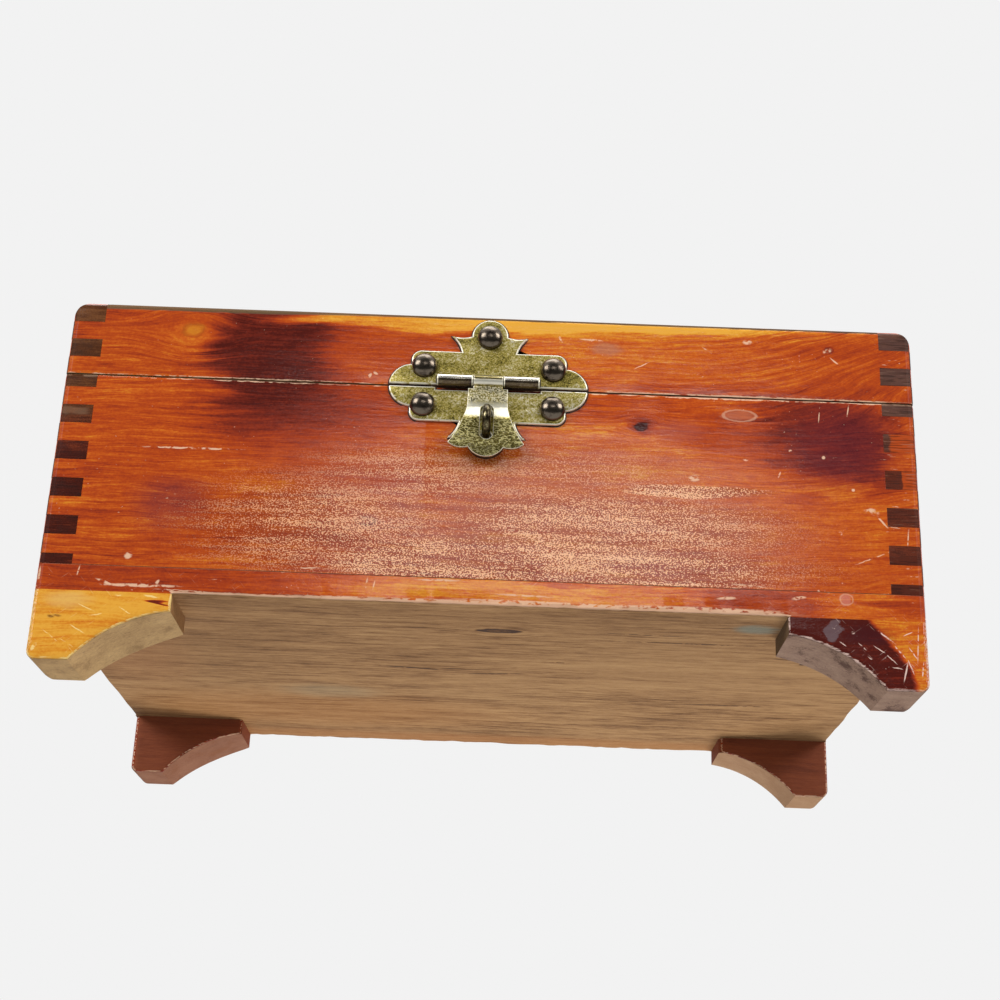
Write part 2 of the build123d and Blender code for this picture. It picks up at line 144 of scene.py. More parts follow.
class CedarSettings(PropertyGroup):
    """Colours of the wood and the wear on its arrises."""

    sapwood: colour_setting("Sapwood", "Palest yellow wood under the varnish", 240, 174, 64)
    amber: colour_setting("Amber", "Yellow-orange wood under the varnish", 228, 148, 44)
    orange: colour_setting("Orange", "Light orange wood under the varnish", 208, 100, 32)
    red: colour_setting("Red", "Usual red-orange of the varnished front", 188, 76, 26)
    russet: colour_setting("Russet", "Deeper red-brown bands", 164, 60, 28)
    maroon: colour_setting("Maroon", "Edge of the heartwood", 126, 44, 29)
    heartwood: colour_setting("Heartwood", "Darkest heartwood under the varnish", 82, 27, 21)
    bare_pale: colour_setting("Bare, pale", "Palest stripes of the sawn bottom board", 202, 160, 111)
    bare_middle: colour_setting("Bare, middle", "Usual tan of the sawn bottom board", 167, 126, 84)
    bare_dark: colour_setting("Bare, dark", "Brown stripes of the sawn bottom board", 114, 78, 46)
    inside_pale: colour_setting("Inside, pale", "Pale stripes of the bare wood inside", 206, 156, 112)
    inside_red: colour_setting("Inside, red", "Reddish stripes of the bare wood inside", 158, 98, 66)
    chipped: colour_setting("Chipped varnish", "Whitish varnish broken along the arrises", 240, 196, 160)
    end_brown: colour_setting("End grain", "Dark end grain in the box joints", 76, 28, 18)
    end_grey: colour_setting("End grain, greyed", "Greyed end grain in the upper box joints", 84, 48, 26)
    arris_wear: length_setting("Worn arris", "Width of the worn lower arris of the case", 0.45)
    parting_wear: length_setting("Parting arris", "Width of the worn arrises along the lid's joint", 0.32)
    joint_wear: length_setting("Joint arris", "Width of the eased edges in the box joints", 0.1)


class BrassSettings(PropertyGroup):
    """Colours and sizes of the latch and hinges."""

    olive: colour_setting("Olive brass", "Usual colour of the aged plates", 184, 166, 80)
    tarnish: colour_setting("Tarnish", "Dark specks in the aged plates", 48, 42, 22)
    rubbed: colour_setting("Rubbed brass", "Bright brass along rubbed edges", 250, 244, 222)
    nail_dark: colour_setting("Nail metal", "Metal of the dome nails", 104, 94, 82)
    dome_height: length_setting("Dome height", "How far a latch nail stands off its plate", 2.2)
    small_dome_height: length_setting("Small dome height", "How far a hinge nail stands off its leaf", 0.9)
    edge_width: length_setting("Plate edge", "Width of the rubbed edge of the plates", 0.34)


class StageSettings(PropertyGroup):
    """Camera, lamps and background."""

    lens: FloatProperty(
        name="Lens", description="Focal length in millimetres", unit="CAMERA", min=10, default=59.70
    )
    backdrop: colour_setting("Backdrop", "Pale backdrop and floor", 242, 242, 242)
    ambient: FloatProperty(name="Ambient", description="Soft light from all round", min=0, default=0.34)
    glare: power_setting("Glare lamp", "Watts of the soft box mirrored in the front", 0.5)
    side: power_setting("Side lamps", "Watts of each soft box at the front sides", 7.8)
    overhead: power_setting("Overhead lamp", "Watts of the soft box overhead", 5.0)
    under: power_setting("Lower lamp", "Watts of the soft box below the box", 3.6)
    back: power_setting("Back lamps", "Watts of each soft box at the back", 4.0)


class Wire:
    """A node's output, with arithmetic that adds Math nodes."""

    def __init__(self, finish, socket):
        self.finish = finish
        self.socket = socket

    def other(self, name):
        """Another output of the same node."""
        return Wire(self.finish, self.socket.node.outputs[name])

    def __add__(self, value):
        return self.finish.maths("ADD", self, value)

    def __radd__(self, value):
        return self.finish.maths("ADD", value, self)

    def __sub__(self, value):
        return self.finish.maths("SUBTRACT", self, value)

    def __rsub__(self, value):
        return self.finish.maths("SUBTRACT", value, self)

    def __mul__(self, value):
        return self.finish.maths("MULTIPLY", self, value)

    def __rmul__(self, value):
        return self.finish.maths("MULTIPLY", value, self)

    def __pow__(self, value):
        return self.finish.maths("POWER", self, value)

    def __neg__(self):
        return self.finish.maths("MULTIPLY", self, -1.0)


class Finish:
    """One material and its nodes, or the backdrop's."""

    def __init__(self, name, owner=None):
        self.material = owner or bpy.data.materials.new(name)
        self.material.use_nodes = True
        self.material.node_tree.nodes.clear()

    def add(self, kind, settings=None, values=None, output=0):
        """Adds a node: its settings first, then a value or a wire for each socket."""
        node = self.material.node_tree.nodes.new(kind)
        for key, setting in (settings or {}).items():
            if key == "stops":
                self.set_stops(node.color_ramp.elements, setting)
            else:
                setattr(node, key, setting)
        for key, value in (values or {}).items():
            socket = node.inputs[key]
            if isinstance(value, Wire):
                self.material.node_tree.links.new(value.socket, socket)
            elif socket.type == "RGBA":
                socket.default_value = (*value[:3], 1)
            else:
                socket.default_value = value
        return Wire(self, node.outputs[output]) if node.outputs else None

    @staticmethod
    def set_stops(elements, stops):
        """Sets the places and colours of a ramp."""
        while len(elements) < len(stops):
            elements.new(1)
        for element, (place, colour) in zip(elements, stops):
            element.position = place
            element.color = (*colour[:3], 1)

    def maths(self, operation, *values):
        """A Math node on numbers or wires."""
        return self.add("ShaderNodeMath", {"operation": operation}, dict(enumerate(values)))

    def step(self, value, low, high, bottom=0.0, top=1.0):
        """Bottom below low, top above high, and smooth between them."""
        places = {"Value": value, "From Min": low, "From Max": high, "To Min": bottom, "To Max": top}
        return self.add("ShaderNodeMapRange", {"interpolation_type": "SMOOTHSTEP"}, places)

    def between(self, first, second, share):
        """A number between two numbers."""
        return self.add("ShaderNodeMix", {"data_type": "FLOAT"}, {0: share, 2: first, 3: second})

    def nearness(self, place, middle, half_sizes, turn=0.0):
        """1 in the middle of an oval, half on its outline and 0 from twice its half sizes out."""
        size = (2 * half_sizes[0], 2 * half_sizes[1], 2.0)
        places = {"Vector": place, "Location": middle, "Rotation": (0, 0, turn), "Scale": size}
        moved = self.add("ShaderNodeMapping", {"vector_type": "TEXTURE"}, places)
        return self.add("ShaderNodeTexGradient", {"gradient_type": "SPHERICAL"}, {0: moved}, output="Fac")

    def mix(self, first, second, share):
        """A colour between two colours."""
        return self.add("ShaderNodeMix", {"data_type": "RGBA"}, {0: share, 6: first, 7: second}, output=2)

    def ramp(self, value, stops):
        """A colour for each value, from stops of a place and a colour."""
        return self.add("ShaderNodeValToRGB", {"stops": stops}, {0: value})

    def vector(self, a, b, c):
        """Three numbers as one place."""
        return self.add("ShaderNodeCombineXYZ", values={0: a, 1: b, 2: c})

    def noise(self, grain, size, seed, detail=2.0, rough=0.5):
        """Cloudy noise whose clouds are size millimetres along, across and through the grain."""
        placed = self.add(
            "ShaderNodeMapping",
            values={
                "Vector": grain,
                "Location": (seed * 7.31, seed * 3.17, seed * 5.73),
                "Scale": tuple(1 / s for s in size),
            },
        )
        values = {"Vector": placed, "Scale": 1.0, "Detail": detail, "Roughness": rough}
        return self.add("ShaderNodeTexNoise", values=values)

    def worn(self):
        """The wear painted on the arrises of the mesh, from 0 to 1; on the nails it holds the painted shade
        round the foot of each dome.
        """
        return self.add("ShaderNodeAttribute", {"attribute_name": "wear"}, output="Fac")

    def close(self, colour, roughness, height, metallic=0.0, reflection=0.5):
        """Ends the material with its surface. Height is in millimetres."""
        bump = self.add("ShaderNodeBump", values={"Strength": 1.0, "Distance": MM, "Height": height})
        surface = self.add(
            "ShaderNodeBsdfPrincipled",
            values={
                "Base Color": colour,
                "Roughness": roughness,
                "Metallic": metallic,
                "Specular IOR Level": reflection,
                "Normal": bump,
            },
        )
        self.add("ShaderNodeOutputMaterial", values={"Surface": surface})
        return self.material


def settings():
    """What a user can change: the cedar, the brass and the stage."""
    scene = bpy.context.scene
    return scene.jewelry_box_cedar, scene.jewelry_box_brass, scene.jewelry_box_stage


# Marks on the wood: each has a middle, in millimetres along the board and across it

# An oval patch: its half sizes, how dark it is, how much of it shows, and its blur
Mark = namedtuple("Mark", "along across long wide tone strength blur", defaults=(1.0, 0.4))
# A knot: its radius, the reach of the bent grain, its tone, halo, length over width, and dark rim
Knot = namedtuple("Knot", "along across radius reach tone ring stretch rim", defaults=(1.0, 0.25, 1.15, 0.12))
# A straight scratch: its length, width, slope in degrees and how pale it is
Scratch = namedtuple("Scratch", "along across length width slope strength", defaults=(0.0, 1.0))
# A pale ring, such as a dried drop leaves: its half sizes and how pale it is
Ring = namedtuple("Ring", "along across long wide strength", defaults=(0.5,))
# A border between two woods: its slope in degrees, the tone above it and to its right, and its blur
Slope = namedtuple("Slope", "along across slope tone blur", defaults=(1.0,))


# What wood() makes: places along, across and through the board and their vector, the tone, and what varies it
Wood = namedtuple("Wood", "a b c grain tone streak mottle height")


def tint(along, across, long, wide, strength, blur, *colour):
    """An oval patch of another colour."""
    return Mark(along, across, long, wide, 0, strength, blur), paint(*colour)


def rows(kind, *numbers):
    """One mark of a kind for each row of numbers."""
    return [kind(*row) for row in numbers]


def board_places(finish, run):
    """Millimetres along the grain, across it and through the board."""
    place = finish.add("ShaderNodeTexCoord", output="Object")
    parts = finish.add("ShaderNodeSeparateXYZ", values={0: place})
    x, y, z = (parts.other(axis) * (1 / MM) for axis in "XYZ")
    return {"X": (x, z, y), "Y": (y, z, x), "flat": (x, y, z)}[run]


def nearness(finish, place, mark):
    """1 in the middle of a mark and half on its outline."""
    return finish.nearness(place, (mark.along, mark.across, 0), (mark.long, mark.wide))


def oval(finish, place, mark, strength=1.0):
    """The strength inside a mark and 0 outside it."""
    return finish.step(nearness(finish, place, mark), 0.5 - mark.blur / 2, 0.5 + mark.blur / 2, 0.0, strength)


def band(finish, value, middle, half, blur):
    """1 within half of the middle, fading to 0 over the blur."""
    return finish.step(finish.maths("ABSOLUTE", value - middle), half, half + blur, 1.0, 0.0)


def largest(finish, values):
    """The largest of a list of wires."""
    total = values[0]
    for value in values[1:]:
        total = finish.maths("MAXIMUM", total, value)
    return total


def rings(finish, place, marks, breaks):
    """Thin pale rings, broken up by a noise."""
    lines = []
    for mark in marks:
        near = nearness(finish, place, mark) + (breaks - 0.5) * 0.15
        lines.append(band(finish, near, 0.5, 0.025, 0.06) * mark.strength)
    return largest(finish, lines)


def scratches(finish, a, b, marks, breaks):
    """Pale lines, broken up by a noise. A weak one lies a little out of reach, so that less of it shows."""
    place = finish.vector(a, b + (breaks - 0.5) * 0.6, 0.0)
    nearest = None
    for mark in marks:
        middle = (mark.along, mark.across, (1 - mark.strength) * 0.8)
        half_sizes = (mark.length * 0.55, mark.width * 0.75)
        near = finish.nearness(place, middle, half_sizes, math.radians(mark.slope))
        nearest = near if nearest is None else finish.maths("MAXIMUM", nearest, near)
    return finish.step(nearest, 0.48, 0.72) * finish.step(breaks, 0.38, 0.52)


def wood(
    finish, run, seed, base, marks=(), knots=(), slopes=(), pith=(-12.0, 45.0), ring_width=1.9,
    contrast=1.0, bend=None,
):
    """Cedar: a tone from 0, palest sapwood, to 1, darkest heartwood, with the grain's places and relief."""
    a, b, c = board_places(finish, run)
    grain = finish.vector(a, b, c)
    broad = finish.noise(grain, (50, 11, 11), seed)
    wander = finish.noise(grain, (30, 8, 8), seed + 1)
    feather = finish.noise(grain, (12, 2.2, 2.2), seed + 2, detail=3)
    mottle = finish.noise(grain, (7, 3.2, 3.2), seed + 5, detail=3, rough=0.6)
    bent = b + (wander - 0.5) * 4
    if bend:
        bent = bent - bend(finish, a, b)
    for knot in knots:
        reach = Mark(knot.along, knot.across, 1.7 * knot.reach, knot.reach, 0)
        near = nearness(finish, finish.vector(a, bent, 0.0), reach)
        bent = finish.between(bent, knot.across, finish.step(near, 0.1, 1.0))
    lines_grain = finish.vector(a, bent, c)
    streak = finish.noise(lines_grain, (24, 1.0, 1.0), seed + 3, detail=3)
    fibre = finish.noise(lines_grain, (5.0, 0.3, 0.3), seed + 4, detail=3, rough=0.65)
    pores = finish.step(finish.noise(lines_grain, (9.0, 0.5, 0.5), seed + 6), 0.56, 0.68)
    radius = finish.maths("SQRT", (bent - pith[0]) ** 2 + (c - pith[1]) ** 2)
    ring = finish.maths("FRACT", radius * (1 / ring_width) + (broad + streak * 0.5) * 2.2)
    line = finish.step(ring, 0.3, 0.9) * (1 - finish.step(ring, 0.93, 1.0))
    tone = base + (broad - 0.5) * (0.5 * contrast) + (streak - 0.5) * (0.5 * contrast)
    tone = tone + (fibre - 0.5) * (0.6 * contrast) + (mottle - 0.5) * (0.36 * contrast)
    tone = tone + line * (streak * 0.24 - 0.05) * contrast + pores * (0.12 * contrast)
    edge_a = a + (wander - 0.5) * 14 + (feather - 0.5) * 7 + (streak - 0.5) * 20
    edge_b = b + (broad - 0.5) * 9 + (feather - 0.5) * 3
    edge_place = finish.vector(edge_a, edge_b, 0.0)
    grain_detail = (fibre - 0.5) * 0.4 + (mottle - 0.5) * 0.2 + (streak - 0.5) * 0.2
    grain_detail = grain_detail + line * 0.05 + pores * 0.06
    for mark in marks:
        tone = finish.between(tone, grain_detail + mark.tone, oval(finish, edge_place, mark, mark.strength))
    for slope in slopes:
        turn = math.radians(slope.slope)
        past = (b - slope.across) * math.cos(turn) - (a - slope.along) * math.sin(turn)
        past = past + (feather - 0.5) * 1.6 + (fibre - 0.5) * 1.2 + (mottle - 0.5) * 1.4
        share = finish.step(past, -slope.blur, slope.blur)
        tone = finish.between(tone, grain_detail * 1.4 + slope.tone, share)
    rough_a = a + (mottle - 0.5) * 3.2 + (fibre - 0.5) * 1.2
    rough_b = b + (mottle - 0.5) * 1.4 + (fibre - 0.5) * 1.2
    rough_place = finish.vector(rough_a, rough_b, 0.0)
    for knot in knots:
        long = knot.radius * knot.stretch
        size = Mark(knot.along, knot.across, long * 1.15, knot.radius, knot.tone, blur=0.3)
        halo = Mark(knot.along, knot.across, long * 2.3, knot.radius * 2.1, knot.tone, blur=0.6)
        rim = band(finish, nearness(finish, rough_place, size), 0.5, 0.06, 0.12)
        tone = finish.between(tone, (tone + knot.tone) * 0.5, oval(finish, rough_place, halo, knot.ring * 2))
        core = (mottle - 0.5) * 0.6 + (fibre - 0.5) * 0.5 + knot.tone
        tone = finish.between(tone, core, oval(finish, rough_place, size)) + rim * knot.rim
    height = (fibre - 0.5) * 0.035 + (streak - 0.5) * 0.03 - line * 0.01
    return Wood(a, b, c, grain, tone, streak, mottle, height)


def varnish_stops(cedar):
    """Colours of the varnished wood from its palest tone to its darkest."""
    return [
        (0.0, cedar.sapwood),
        (0.14, cedar.amber),
        (0.32, cedar.orange),
        (0.46, cedar.red),
        (0.62, cedar.russet),
        (0.8, cedar.maroon),
        (1.0, cedar.heartwood),
    ]


def varnish(
    finish, made, cedar, chips, lines=(), drops=(), tints=(), speck_share=0.5, edge_shade=None, chip_colour=None,
    glare_marks=(), scuff=0.0, ragged=1.9,
):
    """Glossy old varnish: orange peel, painted glare stipple, specks, scratches, chips where the arris is
    worn, and painted edge shade.
    """
    grain = made.grain
    chipped = chip_colour or cedar.chipped
    peel = finish.noise(grain, (0.62, 0.46, 0.46), 41.0, rough=0.6)
    swell = finish.noise(grain, (22.0, 2.4, 2.4), 47.0)
    # The colour follows the orange peel a little: painted light and shade of its glints.
    colour = finish.ramp(made.tone + (peel - 0.5) * 0.3, varnish_stops(cedar))
    near = finish.vector(made.a + (made.mottle - 0.5) * 6, made.b + (made.mottle - 0.5) * 3, 0.0)
    for mark, tint in tints:
        colour = finish.mix(colour, tint, oval(finish, near, mark, mark.strength))
    if scuff:
        colour = finish.mix(colour, chipped, scuffs(finish, made, 97.0) * scuff)
    # Painted glare: pale stipple where the front lamp's glints fall, painted darker between the glints.
    if glare_marks:
        pale, zone = painted_glare(finish, made, glare_marks)
        colour = finish.mix(colour, GLARE_DARK, finish.maths("MULTIPLY", zone * 0.55, 1 - pale))
        colour = finish.mix(colour, GLARE_PALE, pale * 0.9)
    nibs = finish.noise(grain, (0.7, 0.5, 0.5), 53.0, detail=1.0)
    scattered = finish.noise(grain, (16, 11, 11), 59.0, detail=1.0)
    speck = finish.step(nibs + (scattered - 0.5) * 0.3, 0.80 - 0.05 * speck_share, 0.86 - 0.05 * speck_share)
    colour = finish.mix(colour, chipped, speck * 0.45)
    worn_noise = finish.noise(grain, (3.4, 0.6, 0.6), 61.0, detail=3.0, rough=0.6)
    bareness = finish.worn() * 0.8 + (worn_noise - 0.5) * ragged
    bare = finish.step(bareness, 0.62 - chips, 0.84 - chips)
    breaks = finish.noise(grain, (1.6, 1.1, 1.1), 67.0)
    if lines:
        bare = finish.maths("MAXIMUM", bare, scratches(finish, made.a, made.b, lines, breaks))
    if drops:
        place = finish.vector(made.a, made.b, 0.0)
        bare = finish.maths("MAXIMUM", bare, rings(finish, place, drops, breaks))
    colour = finish.mix(colour, chipped, bare * 0.85)
    roughness = 0.1 + (swell - 0.5) * 0.1 + bare * 0.4 + speck * 0.2
    # Painted shade along the edges and joints, tan to the left and brown to the right; these edges and the
    # corners are also made rougher.
    if edge_shade:
        corner = finish.step(finish.maths("ABSOLUTE", made.a), half_length - 1.6, half_length - 1.0)
        painted_shade = finish.mix(EDGE_SHADE_TAN, EDGE_SHADE_BROWN, finish.step(made.a, -60, -10))
        colour = finish.mix(colour, painted_shade, edge_shade)
        roughness = roughness + finish.maths("MAXIMUM", edge_shade, corner) * 0.9
    height = made.height * 0.5 + (peel - 0.5) * 0.022 + (swell - 0.5) * 0.08
    return finish.close(colour, roughness, height, reflection=0.42)


def painted_glare(finish, made, marks):
    """Painted glare: fine whitish stipple standing in for the front lamp's glints in the varnish, in patches
    drawn out along the grain.
    """
    grain = made.grain
    drift = finish.noise(grain, (26, 2.0, 2.0), 83.0, detail=3.0, rough=0.6)
    stipple = finish.noise(grain, (0.4, 0.3, 0.3), 89.0, detail=1.0)
    place = finish.vector(made.a + (drift - 0.5) * 20, made.b + (drift - 0.5) * 5, 0.0)
    zone = largest(finish, [oval(finish, place, mark, mark.strength) for mark in marks])
    zone = finish.step(zone, 0.0, 0.7)
    return finish.step(stipple + (drift - 0.5) * 0.5 + zone * 0.06, 0.57, 0.62) * zone, zone


def scuffs(finish, made, seed):
    """Fine slanting scratches, drawn two ways."""
    lines = []
    for n, slope in enumerate((38.0, -48.0)):
        turn = math.radians(slope)
        along = made.a * math.cos(turn) + made.b * math.sin(turn)
        across = made.b * math.cos(turn) - made.a * math.sin(turn)
        place = finish.vector(along, across, made.c)
        drawn = finish.noise(place, (4.5, 0.3, 0.3), seed + n * 2, detail=1.0)
        lines.append(finish.step(drawn, 0.68, 0.76))
    patchy = finish.noise(made.grain, (5.0, 3.0, 3.0), seed + 5)
    return largest(finish, lines) * finish.step(patchy, 0.4, 0.6)


def board_edge_shade(finish, made, run="X"):
    """Painted shade on the rounded top edge, where it also stands in for a dark reflection, on the corner
    arrises, in the joint under the lid and along the seam with the bottom board.
    """
    middle, half = (0.0, half_length) if run == "Y" else (middle_y, half_depth)
    wander = made.streak - 0.5
    depth = half - finish.maths("ABSOLUTE", made.c - middle)
    reach = made.b + finish.step(made.a, -20.0, -60.0) * 0.6 + wander * 0.8
    outer = 1 - finish.step(depth + wander * 2.4, 0.7, 1.5)
    # Painted shade along the top edge's rounding, at the outermost corners and in the joint under the lid.
    high = finish.step(reach, lid_top - 1.3, lid_top - 0.9) * outer
    ends = finish.step(finish.maths("ABSOLUTE", made.a), half_length - 0.7, half_length - 0.2)
    joint = band(finish, made.b + wander * 0.12, parting, 0.16, 0.1)
    # Painted shade along the seam with the bottom board.
    lower = band(finish, made.b + wander * 0.1, board_top, 0.06, 0.14) * 0.45
    edges = finish.maths("MAXIMUM", high * 0.94, ends * 0.8)
    return finish.maths("MAXIMUM", edges, finish.maths("MAXIMUM", joint, lower))


# The front of the case and lid, cut from one board
FRONT_KNOTS = rows(
    Knot,
    (-73.4, 84.6, 1.6, 6, 0.3, 0.16, 1.2, 0.18),
    (37.2, 63.3, 1, 2.6, 1.5, 0.3, 1.2, 0),
    (-28, 36.4, 1, 3, 0.6, 0.1, 2, 0.2),
    (82.7, 85.5, 0.8, 3, 0.72, 0.3),
)
FRONT_MARKS = rows(
    Mark,
    (-46, 56, 22, 10, 0.58, 0.55, 0.8),
    (-50, 66, 21, 10, 0.74, 0.8, 0.6),
    (-53, 82, 16, 20, 0.94, 1, 0.4),
    (-79, 86, 7, 3, 0.62, 0.6, 0.7),
    (-74, 39.5, 9, 5.5, 0.68, 0.5, 0.6),
    (-85, 60, 14, 12, 0.42, 0.5, 0.6),
    (-84, 84, 10, 7, 0.44, 0.6, 0.6),
    (-22, 80.5, 18, 6, 0.52, 0.8, 0.5),
    (92, 81, 18, 7, 0.52, 0.7, 0.6),
    (-10, 56, 12, 7, 0.3, 0.6, 0.6),
    (2, 90.4, 56, 2.8, 0.1, 0.95, 0.22),
    (32, 90.1, 44, 2.8, -0.08, 1, 0.35),
    (30, 86.4, 30, 1.4, 0.16, 0.7, 0.5),
    (36, 81, 40, 5, 0.27, 0.75, 0.6),
    (78, 90.6, 24, 1.2, 0.06, 0.8, 0.5),
    # A lighter orange band: partly the wood's own tone and partly painted glare.
    (20, 54, 50, 9, 0.28, 0.7, 0.6),
    (84, 62, 16, 10, 0.84, 0.9, 0.4),
    (75, 69.5, 9, 3, 0.78, 0.7, 0.5),
    (77, 43.5, 5, 4, 0.72, 0.5, 0.5),
    (92, 51, 4, 4.5, 0.8, 0.6, 0.4),
    (62, 60.5, 14, 5, 0.6, 0.5, 0.6),
    (30, 43, 42, 9, 0.34, 0.55, 0.7),
    (70, 35, 26, 10, 0.36, 0.6, 0.7),
    (100, 51, 4, 9, 0.34, 0.6, 0.4),
    # Painted shade on the base's top arris between the latch plates.
    (-0.25, 71, 15, 1.4, 1.5, 1, 0.2),
    (94, 28, 16, 7, 0.4, 0.5, 0.6),
)
FRONT_SCRATCHES = rows(
    Scratch,
    (-70.5, 53.3, 26, 0.4, 0.3, 0.8),
    (-29.2, 74.2, 1.6, 0.6, 60, 0.8),
    (-27.8, 74.9, 1.4, 0.5, -30, 0.8),
    (24.5, 86.1, 6, 0.35, -3, 0.9),
    (16.9, 86.2, 3, 0.4, -62, 0.7),
    (84.3, 82.6, 3.2, 0.3, -42, 0.9),
    (82.6, 85.4, 2.6, 0.9, 20, 0.7),
    (91.6, 43.4, 3.6, 1.4, -10, 1),
    (94, 41, 4.6, 0.35, -50, 0.9),
    (92, 32, 10.5, 0.25, 22, 0.8),
    (100, 38, 10, 0.25, 84, 0.6),
    (101.6, 32.6, 3, 0.25, -60, 0.7),
    (77.8, 23.9, 4, 0.35, -48, 0.9),
    (63, 87, 2.6, 1, 0, 0.6),
    (49.8, 50.4, 3.4, 1.3, 8, 0.8),
    (-82.4, 25.6, 2.2, 1.3, 30, 0.7),
    (72.8, 58.3, 0.9, 0.6, 0, 0.8),
    (80.7, 56.9, 0.9, 0.7, 0, 0.9),
    (87.5, 48.8, 0.9, 0.6, 0, 0.8),
    (62, 55.6, 1.4, 0.5, 0, 0.8),
    (70, 52, 2, 0.35, 70, 0.6),
    (84, 37.6, 1, 0.8, 0, 0.7),
    (87, 69.4, 4, 0.25, 80, 0.5),
    (80, 68, 5, 0.25, 84, 0.5),
    (37, 79.6, 5, 0.25, 28, 0.45),
    (53, 84.4, 3.4, 0.25, -36, 0.5),
    (-40, 24.2, 6, 0.3, 2, 0.5),
    (62, 23.9, 9, 0.3, -3, 0.6),
    # These four run along the arrises either side of the lid's joint: partly chipped varnish and partly a
    # painted highlight.
    (-60, parting + 0.4, 84, 0.2, 0, 0.42),
    (-62, parting - 0.42, 80, 0.2, 0, 0.4),
    (62, parting + 0.42, 80, 0.3, 0, 0.95),
    (58, parting - 0.45, 46, 0.3, 0, 0.85),
)
FRONT_RINGS = rows(
    Ring,
    (60.7, 67.1, 3.9, 1.5, 0.4),
)
FRONT_TINTS = rows(
    tint,
    (85, 60, 12, 10, 0.38, 0.6, 92, 34, 52),
    (-74, 39, 8, 6, 0.3, 0.6, 120, 58, 66),
    (29, 84, 3.6, 1.7, 0.45, 0.4, 178, 128, 104),
    (46, 62.3, 6, 2.4, 0.35, 0.6, 168, 92, 84),
    (28, 55, 8, 3, 0.2, 0.6, 190, 92, 84),
    (-20, 46, 18, 5, 0.22, 0.7, 186, 84, 66),
    (36, 27.5, 10, 3.6, 0.25, 0.6, 190, 108, 110),
    (60.7, 67.1, 3.6, 1.3, 0.45, 0.3, 196, 122, 92),
    (-73.4, 84.8, 2.4, 1.7, 0.6, 0.6, 206, 130, 36),
    (37.2, 63.3, 1.5, 0.9, 0.9, 0.5, 58, 20, 16),
    (-31, 36.8, 2.4, 1.2, 0.6, 0.5, 206, 100, 40),
)
# Where the painted glare stipple lies on the front, and how strongly.
FRONT_GLARE_MARKS = rows(
    Mark,
    (14, 27, 48, 7, 0, 1, 0.6),
    (28, 37, 42, 9, 0, 0.6, 0.6),
    (49, 47.2, 15, 1.6, 0, 0.85, 0.6),
    (62, 28, 22, 4, 0, 0.3, 0.7),
    (-34, 35, 32, 13, 0, 0.5, 0.7),
    (-14, 48, 26, 8, 0, 0.44, 0.8),
    (10, 49, 40, 10, 0, 0.36, 0.7),
)

# The edge of the bottom board
EDGE_MARKS = rows(
    Mark,
    (-78, 20, 30, 4, 0.62, 0.7, 0.6),
    (4, 20.6, 40, 2.8, 0.14, 0.85, 0.5),
    (4, 18.2, 46, 1.6, 0.24, 0.7, 0.5),
    (66, 20, 16, 3.4, 0.62, 0.8, 0.4),
    (92, 19.8, 13, 3.6, 0.26, 0.9, 0.4),
    (99, 20.8, 6, 2, 0.6, 0.8, 0.5),
)
EDGE_SCRATCHES = rows(
    Scratch,
    (-79, 18.4, 20, 0.6, 0.6, 0.9),
    (-68, 17.5, 16, 0.3, -1.5, 0.6),
    (-87, 18.9, 5, 0.5, -20, 0.8),
    (-75, 19.2, 2, 0.6, 60, 0.7),
    (-26.5, 21, 3.4, 0.35, 84, 0.5),
    (-24.8, 20.6, 3, 0.3, 80, 0.5),
    (-10, 22.4, 12, 0.4, 1, 0.6),
    (10, 19.4, 16, 0.4, -1, 0.5),
    (57, 20.6, 5, 0.6, 4, 0.8),
    (73.8, 21.3, 3.6, 0.7, 10, 0.8),
    (98, 24.6, 8, 0.3, 2, 0.6),
    (-93.5, 21.5, 3, 0.3, 80, 0.5),
    (10, board_bottom + 0.5, 126, 1.1, 0, 1),
    (46, board_bottom + 0.9, 54, 1.1, 0.3, 0.95),
    (16, board_bottom + 1.2, 50, 0.5, -0.6, 0.7),
    (-30, board_bottom + 0.6, 34, 0.7, 0.4, 0.8),
    (-102.5, 20, 5, 0.5, 88, 0.8),
)
EDGE_RINGS = rows(
    Ring,
    (84.8, 21.4, 1.5, 1.3, 0.35),
)
EDGE_TINTS = rows(
    tint,
    (84.8, 21.4, 1.6, 1.4, 0.5, 0.3, 206, 130, 122),
)

# The bare underside: one long knot, and a grey smear of glue by the right foot
UNDER_KNOTS = rows(
    Knot,
    (4.5, -48.9, 1.25, 4.6, 0.92, 0.2, 3.2, 0.45),
    (81.6, -29.4, 0.5, 2.4, 1.1, 0.3, 1.5),
)
UNDER_MARKS = rows(
    Mark,
    (-75, -30, 30, 36, 0.62, 0.5, 0.6),
    (0, -62, 96, 5, 0.7, 0.5, 0.5),
    (30, -53, 50, 3, 0.66, 0.45, 0.6),
    (60, -20, 44, 26, 0.36, 0.5, 0.6),
    (-40, -27, 40, 3, 0.72, 0.45, 0.6),
    (-20, 34, 22, 3, 0.78, 0.4, 0.6),
    (0, 62, 110, 8, 0.62, 0.4, 0.5),
)
UNDER_SCRATCHES = rows(
    Scratch,
    (-18, -13, 22, 0.7, 7, 0.9),
    (4, -10, 20, 0.6, -8, 0.7),
    (20, -23, 12, 0.6, 2, 0.6),
    (48, -44, 46, 0.6, 0, 0.8),
    (40, -50, 30, 0.5, 1, 0.6),
    (70, 14, 30, 0.5, 0, 0.5),
    (78, -33, 12, 0.6, 8, 0.6),
)
UNDER_TINTS = rows(
    tint,
    (-50, 36, 50, 18, 0.35, 0.6, 178, 118, 62),
    (-42, 14, 12, 6, 0.35, 0.6, 158, 146, 118),
    (-92, -20, 14, 30, 0.3, 0.6, 166, 112, 72),
    (0, 66, 100, 6, 0.4, 0.6, 182, 118, 66),
    (66, -57.5, 5, 3, 0.75, 0.5, 128, 132, 118),
)

